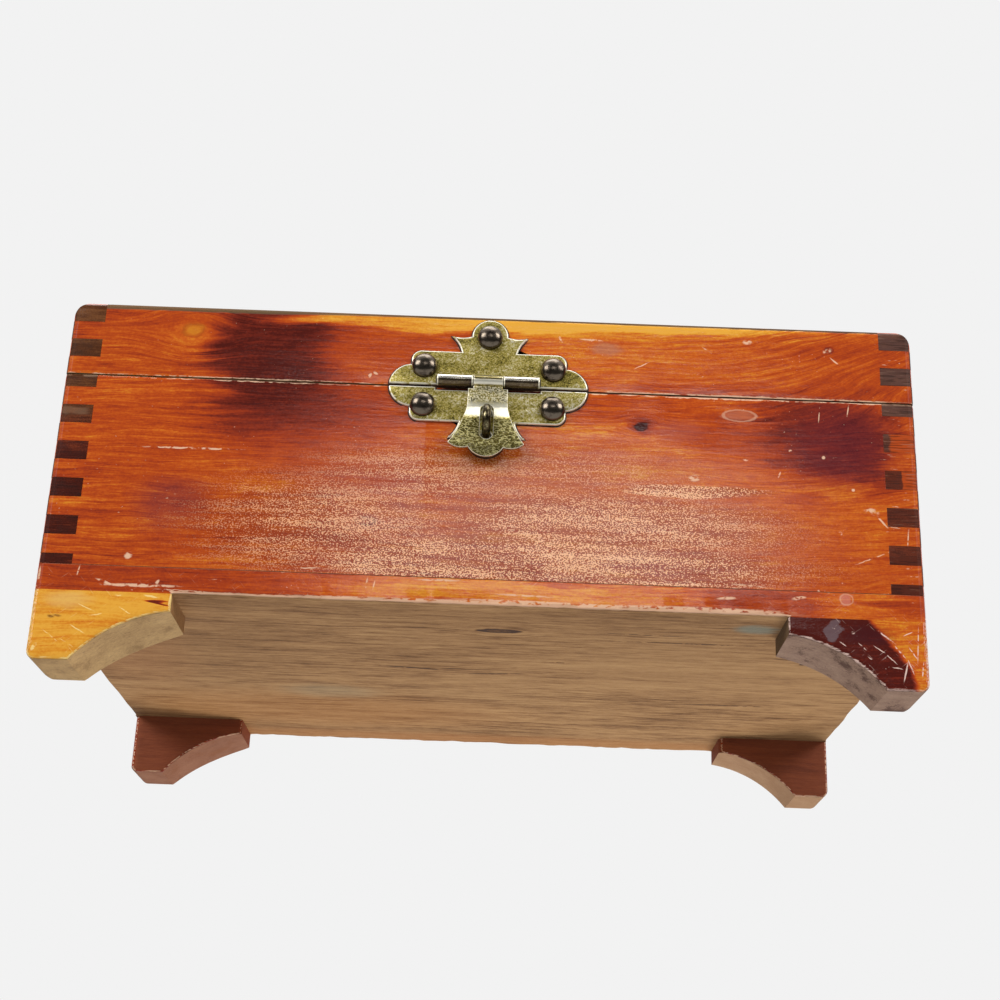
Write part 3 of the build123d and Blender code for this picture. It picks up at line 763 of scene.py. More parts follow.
# The yellow front foot: a paler patch and a dark heart tip at its neck
SAPWOOD_MARKS = rows(
    Mark,
    (-71.6, 13.6, 3, 1.2, 0.9, 0.9, 0.35),
    (-86, 9, 8, 2, 0.2, 0.5, 0.6),
)
SAPWOOD_SCRATCHES = rows(
    Scratch,
    (-84, 15.8, 3, 0.4, 4, 0.9),
    (-76, 15.9, 3.4, 0.4, -8, 0.9),
    (-92, 7.4, 5, 0.25, -30, 0.45),
    (-88, 11, 4, 0.25, 12, 0.4),
    (-101.4, 2.8, 2.2, 0.7, 60, 0.9),
    (-71.5, 14.6, 4.2, 0.5, 88, 1),
    (-98, 5.6, 5, 0.2, -36, 0.7),
    (-94, 4, 4, 0.2, -30, 0.7),
    (-90.6, 12.6, 5, 0.2, -24, 0.6),
    (-82, 12.4, 5, 0.2, -30, 0.6),
)
SAPWOOD_TINTS = rows(
    tint,
    (-95.5, 14.3, 5, 1.6, 0.45, 0.6, 236, 196, 120),
    (-98.4, 10.2, 0.8, 0.4, 0.8, 0.5, 120, 70, 30),
    (-96.6, 10.6, 1, 0.35, 0.7, 0.5, 130, 76, 34),
)

# The maroon front foot: a yellow sapwood corner, a grey patch and many pale scratches
HEARTWOOD_SLOPES = rows(
    Slope,
    (94.2, 11.2, -52, 0.24, 0.9),
    (99.4, 4, -84, 0.26, 0.9),
)
HEARTWOOD_SCRATCHES = rows(
    Scratch,
    (92, 9.6, 3.6, 0.2, -34, 0.9),
    (94.4, 7.6, 4, 0.18, -42, 0.8),
    (90, 7.2, 2.4, 0.2, -38, 0.7),
    (88, 10.2, 2.6, 0.2, -44, 0.8),
    (95.8, 5.4, 2.6, 0.2, -10, 0.8),
    (97.7, 4.5, 5, 0.3, 76, 0.9),
    (93.4, 12.8, 6, 0.26, -38, 0.95),
    (96.4, 9.4, 5, 0.24, -50, 0.9),
    (98.6, 13.6, 2.6, 0.2, 24, 0.8),
    (99.6, 9, 3.6, 0.2, -56, 0.8),
    (100.8, 11, 9, 0.2, 86, 0.8),
    (98.9, 5.8, 4, 0.22, -70, 0.9),
    (86, 13.4, 1, 0.5, 0, 0.6),
    (83.6, 10.6, 2.2, 0.2, -36, 0.7),
    (101.6, 5, 4.4, 0.24, 82, 0.9),
)
HEARTWOOD_TINTS = rows(
    tint,
    (81, 13.4, 1.9, 2.4, 0.75, 0.12, 112, 92, 96),
    (90, 13, 5, 2.4, 0.4, 0.6, 60, 24, 34),
)

# The boards that the photograph doesn't show
LEFT_MARKS = rows(
    Mark,
    (-40, 70, 26, 14, 0.78, 0.7, 0.4),
    (30, 40, 30, 10, 0.62, 0.5, 0.6),
    (20, 82, 40, 5, 0.3, 0.5, 0.5),
)
RIGHT_MARKS = rows(
    Mark,
    (-55, 60, 18, 20, 0.8, 0.75, 0.4),
    (10, 36, 34, 9, 0.34, 0.6, 0.6),
    (45, 78, 20, 10, 0.66, 0.6, 0.5),
)
BACK_MARKS = rows(
    Mark,
    (48, 44, 34, 9, 0.74, 0.7, 0.5),
    (-60, 62, 30, 16, 0.34, 0.6, 0.6),
    (-10, 30, 60, 5, 0.64, 0.5, 0.6),
)
PANEL_MARKS = rows(
    Mark,
    (-40, 20, 60, 16, 0.72, 0.7, 0.5),
    (50, -30, 60, 14, 0.34, 0.6, 0.6),
    (20, 50, 70, 9, 0.6, 0.5, 0.6),
)
LEFT_KNOTS = rows(
    Knot,
    (18, 58, 1.8, 5.5, 0.95, 0.4),
)
RIGHT_KNOTS = rows(
    Knot,
    (28, 47, 2.3, 6.5, 0.9, 0.4),
    (-18, 80, 1, 3.5, 1.1, 0.4),
)
BACK_KNOTS = rows(
    Knot,
    (-34, 42, 2.6, 7, 0.92, 0.4),
    (70, 80, 1.4, 4, 1.1, 0.4),
)
PANEL_KNOTS = rows(
    Knot,
    (38, 12, 3.2, 9, 0.95, 0.4),
    (-62, -34, 2.2, 7, 0.9, 0.4),
    (-8, 44, 1.2, 4, 1.1, 0.4),
)
# Their run, seed, base tone, marks, knots and pith
HIDDEN_BOARDS = {
    "back": ("X", 81.0, 0.46, BACK_MARKS, BACK_KNOTS, (-14.0, 110.0)),
    "left": ("Y", 61.0, 0.44, LEFT_MARKS, LEFT_KNOTS, (10.0, -60.0)),
    "right": ("Y", 71.0, 0.46, RIGHT_MARKS, RIGHT_KNOTS, (110.0, 60.0)),
    "panel": ("flat", 91.0, 0.46, PANEL_MARKS, PANEL_KNOTS, (-30.0, 40.0)),
}
BACK_FOOT_MARKS = rows(Mark, (-90, 10, 6, 3, 0.7, 0.5, 0.5), (90, 8, 6, 3, 0.5, 0.5, 0.5))
FOOT_PITH = (-40.0, -30.0)


# Painted glare stipple and painted edge shade on the varnish

GLARE_DARK = paint(124, 44, 22)
GLARE_PALE = paint(250, 196, 150)
EDGE_SHADE_TAN = paint(96, 74, 44)
EDGE_SHADE_BROWN = paint(58, 38, 20)


# Finishes of the wood


def front_finish(cedar):
    """The varnished front, with its own knots and heartwood, painted glare and painted edge shade. Its chips
    grow larger to the right.
    """
    finish = Finish("front_varnish")
    made = wood(
        finish, "X", 3.0, 0.42, FRONT_MARKS, FRONT_KNOTS, pith=(-14.0, -24.0), ring_width=1.3, bend=lid_bend
    )
    edge_shade = board_edge_shade(finish, made)
    chips = finish.step(made.a, 0.0, 30.0, 0.04, 0.2)
    marks = (FRONT_SCRATCHES, FRONT_RINGS, FRONT_TINTS)
    return varnish(finish, made, cedar, chips, *marks, 0.6, edge_shade, glare_marks=FRONT_GLARE_MARKS)


def lid_bend(finish, a, b):
    """How far the lid's grain climbs towards the right-hand end, where it runs out in arches."""
    past = finish.maths("MAXIMUM", a - 42.0, 0.0)
    return past * past * 0.0042 * (0.2 + finish.step(b, 62.0, 80.0) * 0.8)


def bottom_edge_finish(cedar, run):
    """The varnished edge of the bottom board, yellower where the varnish has rubbed thin."""
    finish = Finish(f"bottom_edge_varnish_{run.lower()}")
    made = wood(finish, run, 9.0, 0.47, EDGE_MARKS, pith=(60.0, -20.0), ring_width=1.7)
    # Painted shade along the seam with the walls above.
    edge_shade = band(finish, made.b + (made.streak - 0.5) * 0.1, board_top, 0.06, 0.14) * 0.45
    marks = (EDGE_SCRATCHES, EDGE_RINGS, EDGE_TINTS)
    return varnish(finish, made, cedar, 0.26, *marks, 0.9, edge_shade, scuff=0.2)


def board_finish(board, cedar):
    """Varnished cedar for a board that the photograph doesn't show."""
    run, seed, base, marks, knots, pith = HIDDEN_BOARDS[board]
    finish = Finish(f"{board}_varnish")
    made = wood(finish, run, seed, base, marks, knots, pith=pith, ring_width=1.5)
    # Painted edge shade, except on the flat panel.
    edge_shade = None if run == "flat" else board_edge_shade(finish, made, run)
    return varnish(finish, made, cedar, 0.05, speck_share=0.3, edge_shade=edge_shade)


def end_grain_finish(cedar):
    """Dark end grain of the box joints, each finger with its own tone, and painted shade along the corner
    arris.
    """
    finish = Finish("end_grain_varnish")
    x, z, y = board_places(finish, "X")
    grain = finish.vector(x, y, z)
    from_middle = finish.maths("ABSOLUTE", x)
    level = finish.maths("FLOOR", (z - parting) * (1 / finger_pitch) + 0.14)
    finger = level + finish.maths("SIGN", x) * 31 + finish.maths("SIGN", y) * 7
    own = finish.add("ShaderNodeTexWhiteNoise", {"noise_dimensions": "1D"}, {"W": finger}, output="Value")
    pores = finish.noise(grain, (0.34, 0.34, 0.24), 71.0, rough=0.7)
    cloud = finish.noise(grain, (3.0, 3.0, 1.6), 73.0)
    sawn = finish.noise(grain, (6.0, 6.0, 0.34), 79.0)
    low = finish.step(-z, -(parting - 8), -(parting - 30))
    right = finish.step(x, 0.0, 1.0)
    tone = 0.42 + (own - 0.5) * 0.3 + low * 0.08
    tone = tone + (pores - 0.5) * 0.8 + (cloud - 0.5) * 0.6 + (sawn - 0.5) * 0.8
    brown = finish.ramp(tone, [(0.0, paint(140, 66, 40)), (0.45, cedar.end_brown), (1.0, paint(30, 10, 8))])
    brown = finish.mix(brown, paint(112, 56, 40), right * 0.4)
    grey = finish.ramp(tone, [(0.0, paint(124, 82, 46)), (0.5, cedar.end_grey), (1.0, paint(40, 24, 14))])
    grey = finish.mix(grey, paint(104, 80, 76), right * 0.55)
    greyed = finish.step(z + (cloud - 0.5) * 6, parting - 16.0, parting - 6.0) * 0.85
    colour = finish.mix(brown, grey, greyed)
    lighter = band(finish, z + (cloud - 0.5) * 1.2, 62.0, 0.5, 0.7) * finish.step(-x, 95.5, 97.5) * 0.4
    colour = finish.mix(colour, paint(146, 110, 84), lighter)
    red_end = band(finish, x + (cloud - 0.5) * 1.6, 100.6, 3.4, 0.8) * band(finish, z, 61.27, 2.3, 0.2)
    red_core = band(finish, x + (cloud - 0.5) * 0.8, 101.4, 1.9, 0.3) * band(finish, z, 51.74, 2.2, 0.2)
    colour = finish.mix(colour, cedar.red, finish.maths("MAXIMUM", red_end, red_core) * 0.9)
    pale_lines = finish.step(sawn, 0.62, 0.68) * finish.step(x, 90, 92)
    colour = finish.mix(colour, paint(150, 120, 100), pale_lines * 0.45)
    dark_lines = finish.step(-sawn, -0.5, -0.4) * right
    colour = finish.mix(colour, paint(34, 22, 20), dark_lines * 0.55)
    pale_edge = finish.step(finish.worn(), 0.2, 0.6) * finish.step(cloud, 0.46, 0.62)
    colour = finish.mix(colour, cedar.chipped, pale_edge * 0.2)
    height = (pores - 0.5) * 0.02 + (sawn - 0.5) * 0.02
    corner = finish.step(from_middle, half_length - 1.6, half_length - 1.0)
    # Painted shade along the outermost corner arris.
    arris = finish.step(from_middle, half_length - 0.8, half_length - 0.3)
    colour = finish.mix(colour, paint(34, 20, 14), arris * 0.8)
    return finish.close(colour, 0.24 + (cloud - 0.5) * 0.2 + corner * 0.45, height, reflection=0.12)


def bare_finish(name, run, seed, stops, base=0.5, knots=(), marks=(), lines=(), tints=(), contrast=0.9):
    """Bare sawn cedar: soft grain, fuzzy fibres and saw marks."""
    finish = Finish(name)
    made = wood(finish, run, seed, base, marks, knots, pith=(20.0, 90.0), ring_width=2.4, contrast=contrast)
    fuzz = finish.noise(made.grain, (1.6, 0.3, 0.3), seed + 11, detail=3.0, rough=0.7)
    sawn = finish.noise(made.grain, (1.4, 40, 40), seed + 13, detail=1.0)
    tone = made.tone + (fuzz - 0.5) * 0.3
    if lines:
        breaks = finish.noise(made.grain, (2.0, 1.0, 1.0), 67.0)
        tone = tone + scratches(finish, made.a, made.b, lines, breaks) * 0.5
    colour = finish.ramp(tone, stops)
    near = finish.vector(made.a + (made.mottle - 0.5) * 8, made.b + (made.mottle - 0.5) * 4, 0.0)
    for mark, tint in tints:
        colour = finish.mix(colour, tint, oval(finish, near, mark, mark.strength))
    height = (fuzz - 0.5) * 0.14 + (sawn - 0.5) * 0.04 + made.height
    return finish.close(colour, 0.72 + (fuzz - 0.5) * 0.2, height, reflection=0.3)


def underside_finish(cedar):
    """The bare underside of the bottom board."""
    streaks = paint(64, 42, 30)
    stops = [(0.05, cedar.bare_pale), (0.5, cedar.bare_middle), (0.8, cedar.bare_dark), (1.15, streaks)]
    marks = (UNDER_KNOTS, UNDER_MARKS, UNDER_SCRATCHES, UNDER_TINTS)
    return bare_finish("underside_bare", "flat", 21.0, stops, 0.47, *marks, contrast=1.35)


def inside_finish(cedar, run):
    """The bare inside of the case and lid."""
    stops = [(0.05, cedar.inside_pale), (0.55, cedar.inside_red), (1.0, cedar.maroon)]
    return bare_finish(f"inside_bare_{run.lower()}", run, 27.0, stops, 0.42, [Knot(34.0, 50.0, 2.4, 7.0)])


def foot_finish(
    name, cedar, seed, base, marks, slopes=(), lines=(), tints=(), chips=0.0, chip_colour=None,
    contrast=0.6, ragged=1.9,
):
    """A varnished foot face."""
    finish = Finish(name)
    made = wood(finish, "X", seed, base, marks, (), slopes, FOOT_PITH, 2.4, contrast)
    return varnish(
        finish, made, cedar, chips, lines, (), tints, 0.8, chip_colour=chip_colour, scuff=0.32, ragged=ragged
    )


def foot_cut_finish(name, seed, pale, dark, blotch, blotchy):
    """The sawn and sanded arch of a foot, end grain turning to long grain."""
    finish = Finish(name)
    made = wood(finish, "X", seed, 0.45, pith=FOOT_PITH, ring_width=2.4, contrast=0.6)
    fuzz = finish.noise(made.grain, (0.5, 0.5, 0.5), seed + 5, detail=3.0, rough=0.7)
    cloud = finish.noise(made.grain, (5, 5, 7), seed + 7)
    fleck = finish.step(finish.noise(made.grain, (1.4, 1.0, 0.8), seed + 9), 0.64, 0.72)
    tone = made.tone + (fuzz - 0.5) * 0.7 + (cloud - 0.5) * 0.6
    colour = finish.ramp(tone, [(0.1, paint(*pale)), (0.9, paint(*dark))])
    colour = finish.mix(colour, paint(*blotch), fleck * 0.5)
    patches = finish.step(cloud + (fuzz - 0.5) * 0.4, 0.56, 0.7)
    colour = finish.mix(colour, paint(*blotch), patches * blotchy)
    height = (fuzz - 0.5) * 0.14
    return finish.close(colour, 0.7 + (cloud - 0.5) * 0.2, height, reflection=0.3)


# Finishes of the metal


def metal_places(finish):
    """Places in millimetres."""
    place = finish.add("ShaderNodeTexCoord", output="Object")
    return finish.add("ShaderNodeMapping", values={"Vector": place, "Scale": (1 / MM, 1 / MM, 1 / MM)})


def aged_brass(brass, name, seed, shaded=None, lightness=0.49):
    """Antiqued brass sheet: olive, freckled dark and bright. Shaded paints darker and brighter places on one
    piece, painted highlights and shade among them; lightness lifts the whole sheet.
    """
    finish = Finish(name)
    spot = metal_places(finish)
    cloud = finish.noise(spot, (4.2, 4.2, 3.4), seed)
    grit = finish.noise(spot, (0.36, 0.36, 0.32), seed + 1, rough=0.6)
    fleck = finish.noise(spot, (0.8, 0.8, 0.62), seed + 2)
    shade = lightness + (cloud - 0.5) * 0.7 + (grit - 0.5) * 1.2 + (fleck - 0.5) * 0.6
    stops = [(0.12, brass.tarnish), (0.36, paint(128, 116, 54)), (0.56, brass.olive), (1.0, brass.rubbed)]
    colour = finish.ramp(shade, stops)
    roughness = 0.42 - (shade - 0.5) * 0.2
    if shaded:
        colour, roughness = shaded(finish, brass, colour, roughness, grit)
    height = (grit - 0.5) * 0.025 + (cloud - 0.5) * 0.08
    return finish.close(colour, roughness, height, metallic=0.9)


def barrel_shade(finish, brass, colour, roughness, grit):
    """The knuckles of the lid plate stand off the front and have gone dark, with a painted highlight along
    the top of the barrel.
    """
    y, z = board_places(finish, "Y")[:2]
    barrel = finish.step(-y, -front_face + 1.0, -front_face + 1.5)
    # Painted highlight along the top of the barrel.
    bright = barrel * band(finish, z, parting + 1.5, 0.3, 0.35)
    colour = finish.mix(colour, paint(74, 60, 58), barrel * 0.85)
    colour = finish.mix(colour, paint(236, 230, 216), bright * 0.85)
    return colour, roughness - barrel * 0.18


def hasp_shade(finish, brass, colour, roughness, grit):
    """Painted light on the hasp: a painted highlight across its bow and under its knuckle, painted glints
    above the bow, painted shade on the knuckle's top and a painted dark reflection at its lip.
    """
    z = board_places(finish, "X")[1]
    # Painted highlight across the bow, and painted glints on the flat part above it.
    bow = band(finish, z + (grit - 0.5) * 1.4, parting - 6.8, 1.2, 1.6)
    upper = finish.step(z, parting - 5.2, parting - 4.0) * (1 - finish.step(z, parting - 0.6, parting))
    # Painted dark reflection at the lip, with bright scribbles over it.
    lower = 1 - finish.step(z + (grit - 0.5) * 2, parting - 10.5, parting - 8.6)
    # Painted highlight under the knuckle and painted shade on its top.
    knuckle = band(finish, z, parting + 0.5, 0.45, 0.25)
    dark_knuckle = finish.step(z, parting + 0.9, parting + 1.3)
    scribble = finish.noise(metal_places(finish), (1.3, 1.3, 0.7), 51.0)
    line = band(finish, scribble, 0.5, 0.026, 0.02) * lower
    colour = finish.mix(colour, brass.rubbed, upper * finish.step(grit, 0.42, 0.6) * 0.6)
    colour = finish.mix(colour, paint(66, 58, 40), dark_knuckle * 0.7)
    colour = finish.mix(colour, paint(62, 54, 30), lower * 0.66)
    colour = finish.mix(colour, paint(226, 216, 150), line * 0.8)
    colour = finish.mix(colour, paint(226, 222, 206), finish.maths("MAXIMUM", bow * 0.8, knuckle * 0.95))
    return colour, roughness - dark_knuckle * 0.15


def rubbed_brass(brass):
    """Brass worn bright along an edge, so pale that it is partly a painted highlight."""
    finish = Finish("rubbed_brass")
    spot = metal_places(finish)
    dull = finish.noise(spot, (1.8, 1.8, 1.8), 15.0)
    colour = finish.mix(brass.rubbed, brass.olive, finish.step(dull, 0.54, 0.72))
    return finish.close(colour, 0.36 + (dull - 0.5) * 0.3, (dull - 0.5) * 0.02, metallic=0.35)


def dark_metal():
    """Bronzed wire of the staple and the pins, olive where it is rubbed."""
    finish = Finish("staple_metal")
    spot = metal_places(finish)
    dimple = finish.noise(spot, (1.1, 1.1, 1.6), 31.0)
    grit = finish.noise(spot, (0.3, 0.3, 0.3), 33.0)
    shade = 0.5 + (dimple - 0.5) * 1.6 + (grit - 0.5) * 0.8
    stops = [(0.2, paint(34, 30, 24)), (0.6, paint(84, 74, 52)), (0.95, paint(176, 166, 128))]
    colour = finish.ramp(shade, stops)
    return finish.close(colour, 0.26 + (dimple - 0.5) * 0.2, (dimple - 0.5) * 0.05, metallic=0.95)


def nail_metal(brass):
    """Polished dark metal of the dome nails, gently dimpled, with painted shade round the foot of each dome.
    """
    finish = Finish("nail_metal")
    spot = metal_places(finish)
    dimple = finish.noise(spot, (1.5, 1.5, 1.5), 35.0)
    grit = finish.noise(spot, (0.35, 0.35, 0.35), 37.0)
    darker = finish.step(dimple + (grit - 0.5) * 0.5, 0.48, 0.7)
    colour = finish.mix(brass.nail_dark, paint(70, 60, 52), darker * 0.8)
    # Painted shade round the foot of each dome, read from the wear layer.
    colour = finish.mix(colour, paint(30, 24, 18), finish.worn() * 0.85)
    roughness = 0.23 + (dimple - 0.5) * 0.12
    return finish.close(colour, roughness, (dimple - 0.5) * 0.05 + (grit - 0.5) * 0.008, metallic=0.95)


def joint_dirt():
    """A dark painted shadow gathered round the plates."""
    finish = Finish("joint_dirt")
    spot = metal_places(finish)
    shadow_blotch = finish.noise(spot, (0.8, 0.8, 0.8), 45.0)
    colour = finish.mix(paint(40, 20, 14), paint(86, 44, 28), finish.step(shadow_blotch, 0.4, 0.7))
    return finish.close(colour, 0.6, (shadow_blotch - 0.5) * 0.05)


FINISHES = {}


def finish_of(name, make, *values):
    """A finish by name, made the first time that it is asked for."""
    if name not in FINISHES:
        FINISHES[name] = make(*values)
    return FINISHES[name]


# Mesh tools


def merged(node):
    """A CAD node's mesh with its corners joined."""
    shape = bmesh.new()
    shape.from_mesh(frame["nodes"][node].data)
    bmesh.ops.remove_doubles(shape, verts=shape.verts, dist=MERGE)
    return shape


def cad_copy(node):
    """A CAD node's mesh, merged, with its flat faces made whole and layers for tags and wear."""
    shape = merged(node)
    shape.faces.layers.int.new("arris")
    shape.verts.layers.float.new("wear")
    bmesh.ops.dissolve_limit(shape, angle_limit=FLAT_ANGLE, verts=shape.verts, edges=shape.edges)
    shape.normal_update()
    return shape


def new_object(name, shape):
    """A bmesh as an object of the scene."""
    mesh = bpy.data.meshes.new(name)
    shape.to_mesh(mesh)
    shape.free()
    made = bpy.data.objects.new(name, mesh)
    bpy.context.scene.collection.objects.link(made)
    return made


def join(shape, part):
    """Adds one bmesh to another."""
    mesh = bpy.data.meshes.new("part")
    part.to_mesh(mesh)
    part.free()
    shape.from_mesh(mesh)
    bpy.data.meshes.remove(mesh)


def of_kind(geometry, kind):
    """The vertices or edges among what an operator made."""
    return [item for item in geometry if isinstance(item, kind)]


def pull(shape, edges, away=(0, 0, 0)):
    """Draws faces out of open edges and returns what that made."""
    made = bmesh.ops.extrude_edge_only(shape, edges=edges)["geom"]
    bmesh.ops.translate(shape, verts=of_kind(made, BMVert), vec=away)
    return made


def sharp_edges(shape):
    """Convex edges sharp enough to be eased."""
    whole = [e for e in shape.edges if len(e.link_faces) == 2]
    return [e for e in whole if e.is_convex and e.calc_face_angle() > SHARP_ANGLE]


def soften(shape, edges, width, tag, segments=2, clamp=True):
    """Bevels edges and tags the new faces."""
    made = bmesh.ops.bevel(
        shape, geom=edges, offset=width, offset_type="OFFSET", segments=segments, profile=0.5,
        affect="EDGES", clamp_overlap=clamp, material=-1,
    )
    layer = shape.faces.layers.int["arris"]
    for face in made["faces"]:
        face[layer] = tag
    shape.normal_update()
    return made["faces"]


def slice_up(shape, axis, places, front_only=False):
    """Cuts a shape across an axis at each place, in metres, or just its faces that look to the front."""
    normal = Vector((0, 0, 0))
    normal[axis] = 1
    for place in places:
        faces = [f for f in shape.faces if f.normal.y < -0.2] if front_only else shape.faces[:]
        edges = list(dict.fromkeys(e for f in faces for e in f.edges))
        verts = list(dict.fromkeys(v for f in faces for v in f.verts))
        whole = faces + edges + verts
        bmesh.ops.bisect_plane(shape, geom=whole, dist=ON_CUT, plane_co=normal * place, plane_no=normal)


def wear_down(shape, depths, seed):
    """Wears the tagged arrises into a wandering line. Depths gives the metres for each tag."""
    tag = shape.faces.layers.int["arris"]
    wear = shape.verts.layers.float["wear"]
    shape.normal_update()
    deepest = {}
    for face in shape.faces:
        if face[tag]:
            for vert in face.verts:
                deepest[vert] = max(deepest.get(vert, 0), depths[face[tag]])
    moves = {}
    for vert, depth in deepest.items():
        long_wave = noise.noise(vert.co / LONG_WAVE + Vector((seed, 0, 0)))
        short_wave = noise.noise(vert.co / SHORT_WAVE + Vector((0, seed, 0)))
        bite = min(max(0.35 + 0.6 * long_wave + 0.75 * short_wave, 0), 1)
        moves[vert] = -vert.normal * depth * bite
        vert[wear] = min(depth / (0.2 * MM), 1)
    for vert, move in moves.items():
        vert.co += move


def finish_piece(shape, node, materials, sharp=FACET_ANGLE):
    """Turns a bmesh into a piece that rides on its node's body and stands for the node."""
    bmesh.ops.recalc_face_normals(shape, faces=shape.faces)
    for face in shape.faces:
        face.smooth = True
    for edge in shape.edges:
        edge.smooth = len(edge.link_faces) == 2 and edge.calc_face_angle() < sharp
    mesh = bpy.data.meshes.new(node)
    shape.to_mesh(mesh)
    shape.free()
    for material in materials:
        mesh.materials.append(material)
    piece = bpy.data.objects.new(f"{node}_dressed", mesh)
    bpy.context.scene.collection.objects.link(piece)
    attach(piece, body_of(node))
    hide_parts(node)
    record_slot(node)
    return piece


def record_slot(node):
    """The material slot that the record gives a node."""
    return next(part["material_slot"] for part in frame["record"]["subparts"] if part["node"] == node)


def body_of(node):
    """The body that a node moves with."""
    return frame["nodes"][node]["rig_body"]


def on_skin(face):
    """Whether a face is an upright one on the outside of the case."""
    middle = face.calc_center_median() / MM
    rim = corner_round + 0.1
    outside = abs(middle.x) > half_length - rim or abs(middle.y - middle_y) > half_depth - rim
    return outside and abs(face.normal.z) < 0.5


def outer_edges(shape, place):
    """Edges of the outer skin: the low arris, the high arris, or the edges of the joints between them."""
    heights = [vert.co.z for vert in shape.verts]
    low, high = min(heights) + TOUCH, max(heights) - TOUCH
    found = {"low": [], "high": [], "joint": []}
    for edge in shape.edges:
        if len(edge.link_faces) != 2 or edge.calc_face_angle() < SHARP_ANGLE or not edge.is_convex:
            continue
        skins = [on_skin(face) for face in edge.link_faces]
        if not any(skins):
            continue
        heights = [vert.co.z for vert in edge.verts]
        if max(heights) < low:
            found["low"].append(edge)
        elif min(heights) > high:
            found["high"].append(edge)
        elif not all(skins):
            found["joint"].append(edge)
    return found[place]


def board_cuts(run, low, high, step=2.4 * MM):
    """Evenly spaced places to cut a board along its run, clear of its rounded ends."""
    rim = (corner_round + 0.5) * MM
    first, last = low[run] + rim, high[run] - rim
    count = int((last - first) / step)
    return [first + (last - first) * n / count for n in range(count + 1)]


def dress_board(node, run, finishes, wears, seed):
    """A wall or rail with worn arrises. Its finishes are the outside, the end grain and the inside."""
    low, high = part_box(node)
    shape = cad_copy(node)
    tags = {"low": 1, "high": 2, "joint": 3}
    for place, tag in tags.items():
        edges = outer_edges(shape, place)
        if edges:
            soften(shape, edges, wears[place], tag, 3 if wears[place] > 0.2 * MM else 2)
    slice_up(shape, run, board_cuts(run, low, high))
    top_cut = 0.9 if high.z < (lid_top - 1) * MM else 2.0
    slice_up(shape, 2, (low.z + 0.9 * MM, high.z - top_cut * MM))
    wear_down(shape, {tags[place]: wear * 0.45 for place, wear in wears.items()}, seed)
    for face in shape.faces:
        face.material_index = board_slot(face, run)
    return finish_piece(shape, node, finishes, BOARD_ANGLE)


def board_slot(face, run):
    """0 for the varnished outside, 1 for end grain and 2 for the bare inside."""
    middle = face.calc_center_median() / MM
    ends = abs(middle.x) > half_length - SKIN
    sides = abs(middle.y - middle_y) > half_depth - SKIN
    out_run, out_across = (ends, sides) if run == 0 else (sides, ends)
    if out_run and abs(face.normal[run]) > 0.75:
        return 1
    if out_across or out_run:
        inward = abs(face.normal.z) > 0.98 and middle.z < lid_top - 0.5
        return 2 if inward else 0
    return 0 if middle.z > lid_top - 0.5 else 2


def islands(node):
    """The boxes of a node's separate solids, in metres, from low X to high X."""
    shape = merged(node)
    left = set(shape.verts)
    boxes = []
    while left:
        front = [left.pop()]
        found = list(front)
        while front:
            vert = front.pop()
            for edge in vert.link_edges:
                far = edge.other_vert(vert)
                if far in left:
                    left.remove(far)
                    front.append(far)
                    found.append(far)
        boxes.append([Vector([pick(v.co[i] for v in found) for i in range(3)]) for pick in (min, max)])
    shape.free()
    return sorted(boxes, key=lambda box: (round(box[0].x, 5), box[0].z))


# Operators, one for each group of pieces


# Where the camera stands, in metres, and how it is turned, in degrees
CAMERA_PLACE = (0.005398, -0.434124, -0.100184)
CAMERA_TURN = (111.4015, -2.0830, -0.5453)
SENSOR_WIDTH = 36
# Soft boxes: the setting of their watts, their place and target in metres, and their size
LAMPS = {
    "glare_box": ("glare", (0.045, -0.969, 0.364), (0.01, -0.07, 0.04), (0.36, 0.14)),
    "front_left_box": ("side", (-0.85, -0.80, 0.58), (0, -0.07, 0.05), (0.6, 0.5)),
    "front_right_box": ("side", (0.90, -0.75, 0.62), (0, -0.07, 0.05), (0.6, 0.5)),
    "overhead_box": ("overhead", (-0.05, -0.10, 0.90), (0, -0.02, 0.06), (0.8, 0.45)),
    "under_box": ("under", (0.15, 0.45, -0.42), (0, 0.03, 0.0), (0.5, 0.4)),
    "back_left_box": ("back", (-0.8, 0.8, 0.55), (0, 0, 0.05), (1.0, 1.0)),
    "back_right_box": ("back", (0.9, 0.6, 0.45), (0, 0, 0.05), (1.0, 1.0)),
}
# The floor's radius, and how far out it starts and ends to fade, in metres
FLOOR_RADIUS = 1.6
FLOOR_FADE = (0.25, 0.85)
# Dark cards: their turn in degrees, how far off they stand and how tall they are, in metres
CARD_GREY = (0.05, 0.05, 0.05)
CARD_WIDTH = 4.4
CARD_HEIGHT = 0.75
CARDS = {"front": (0, 1.6, 3.0), "left": (-90, 2.0, 2.4), "right": (90, 2.0, 2.4), "back": (180, 1.6, 2.4)}


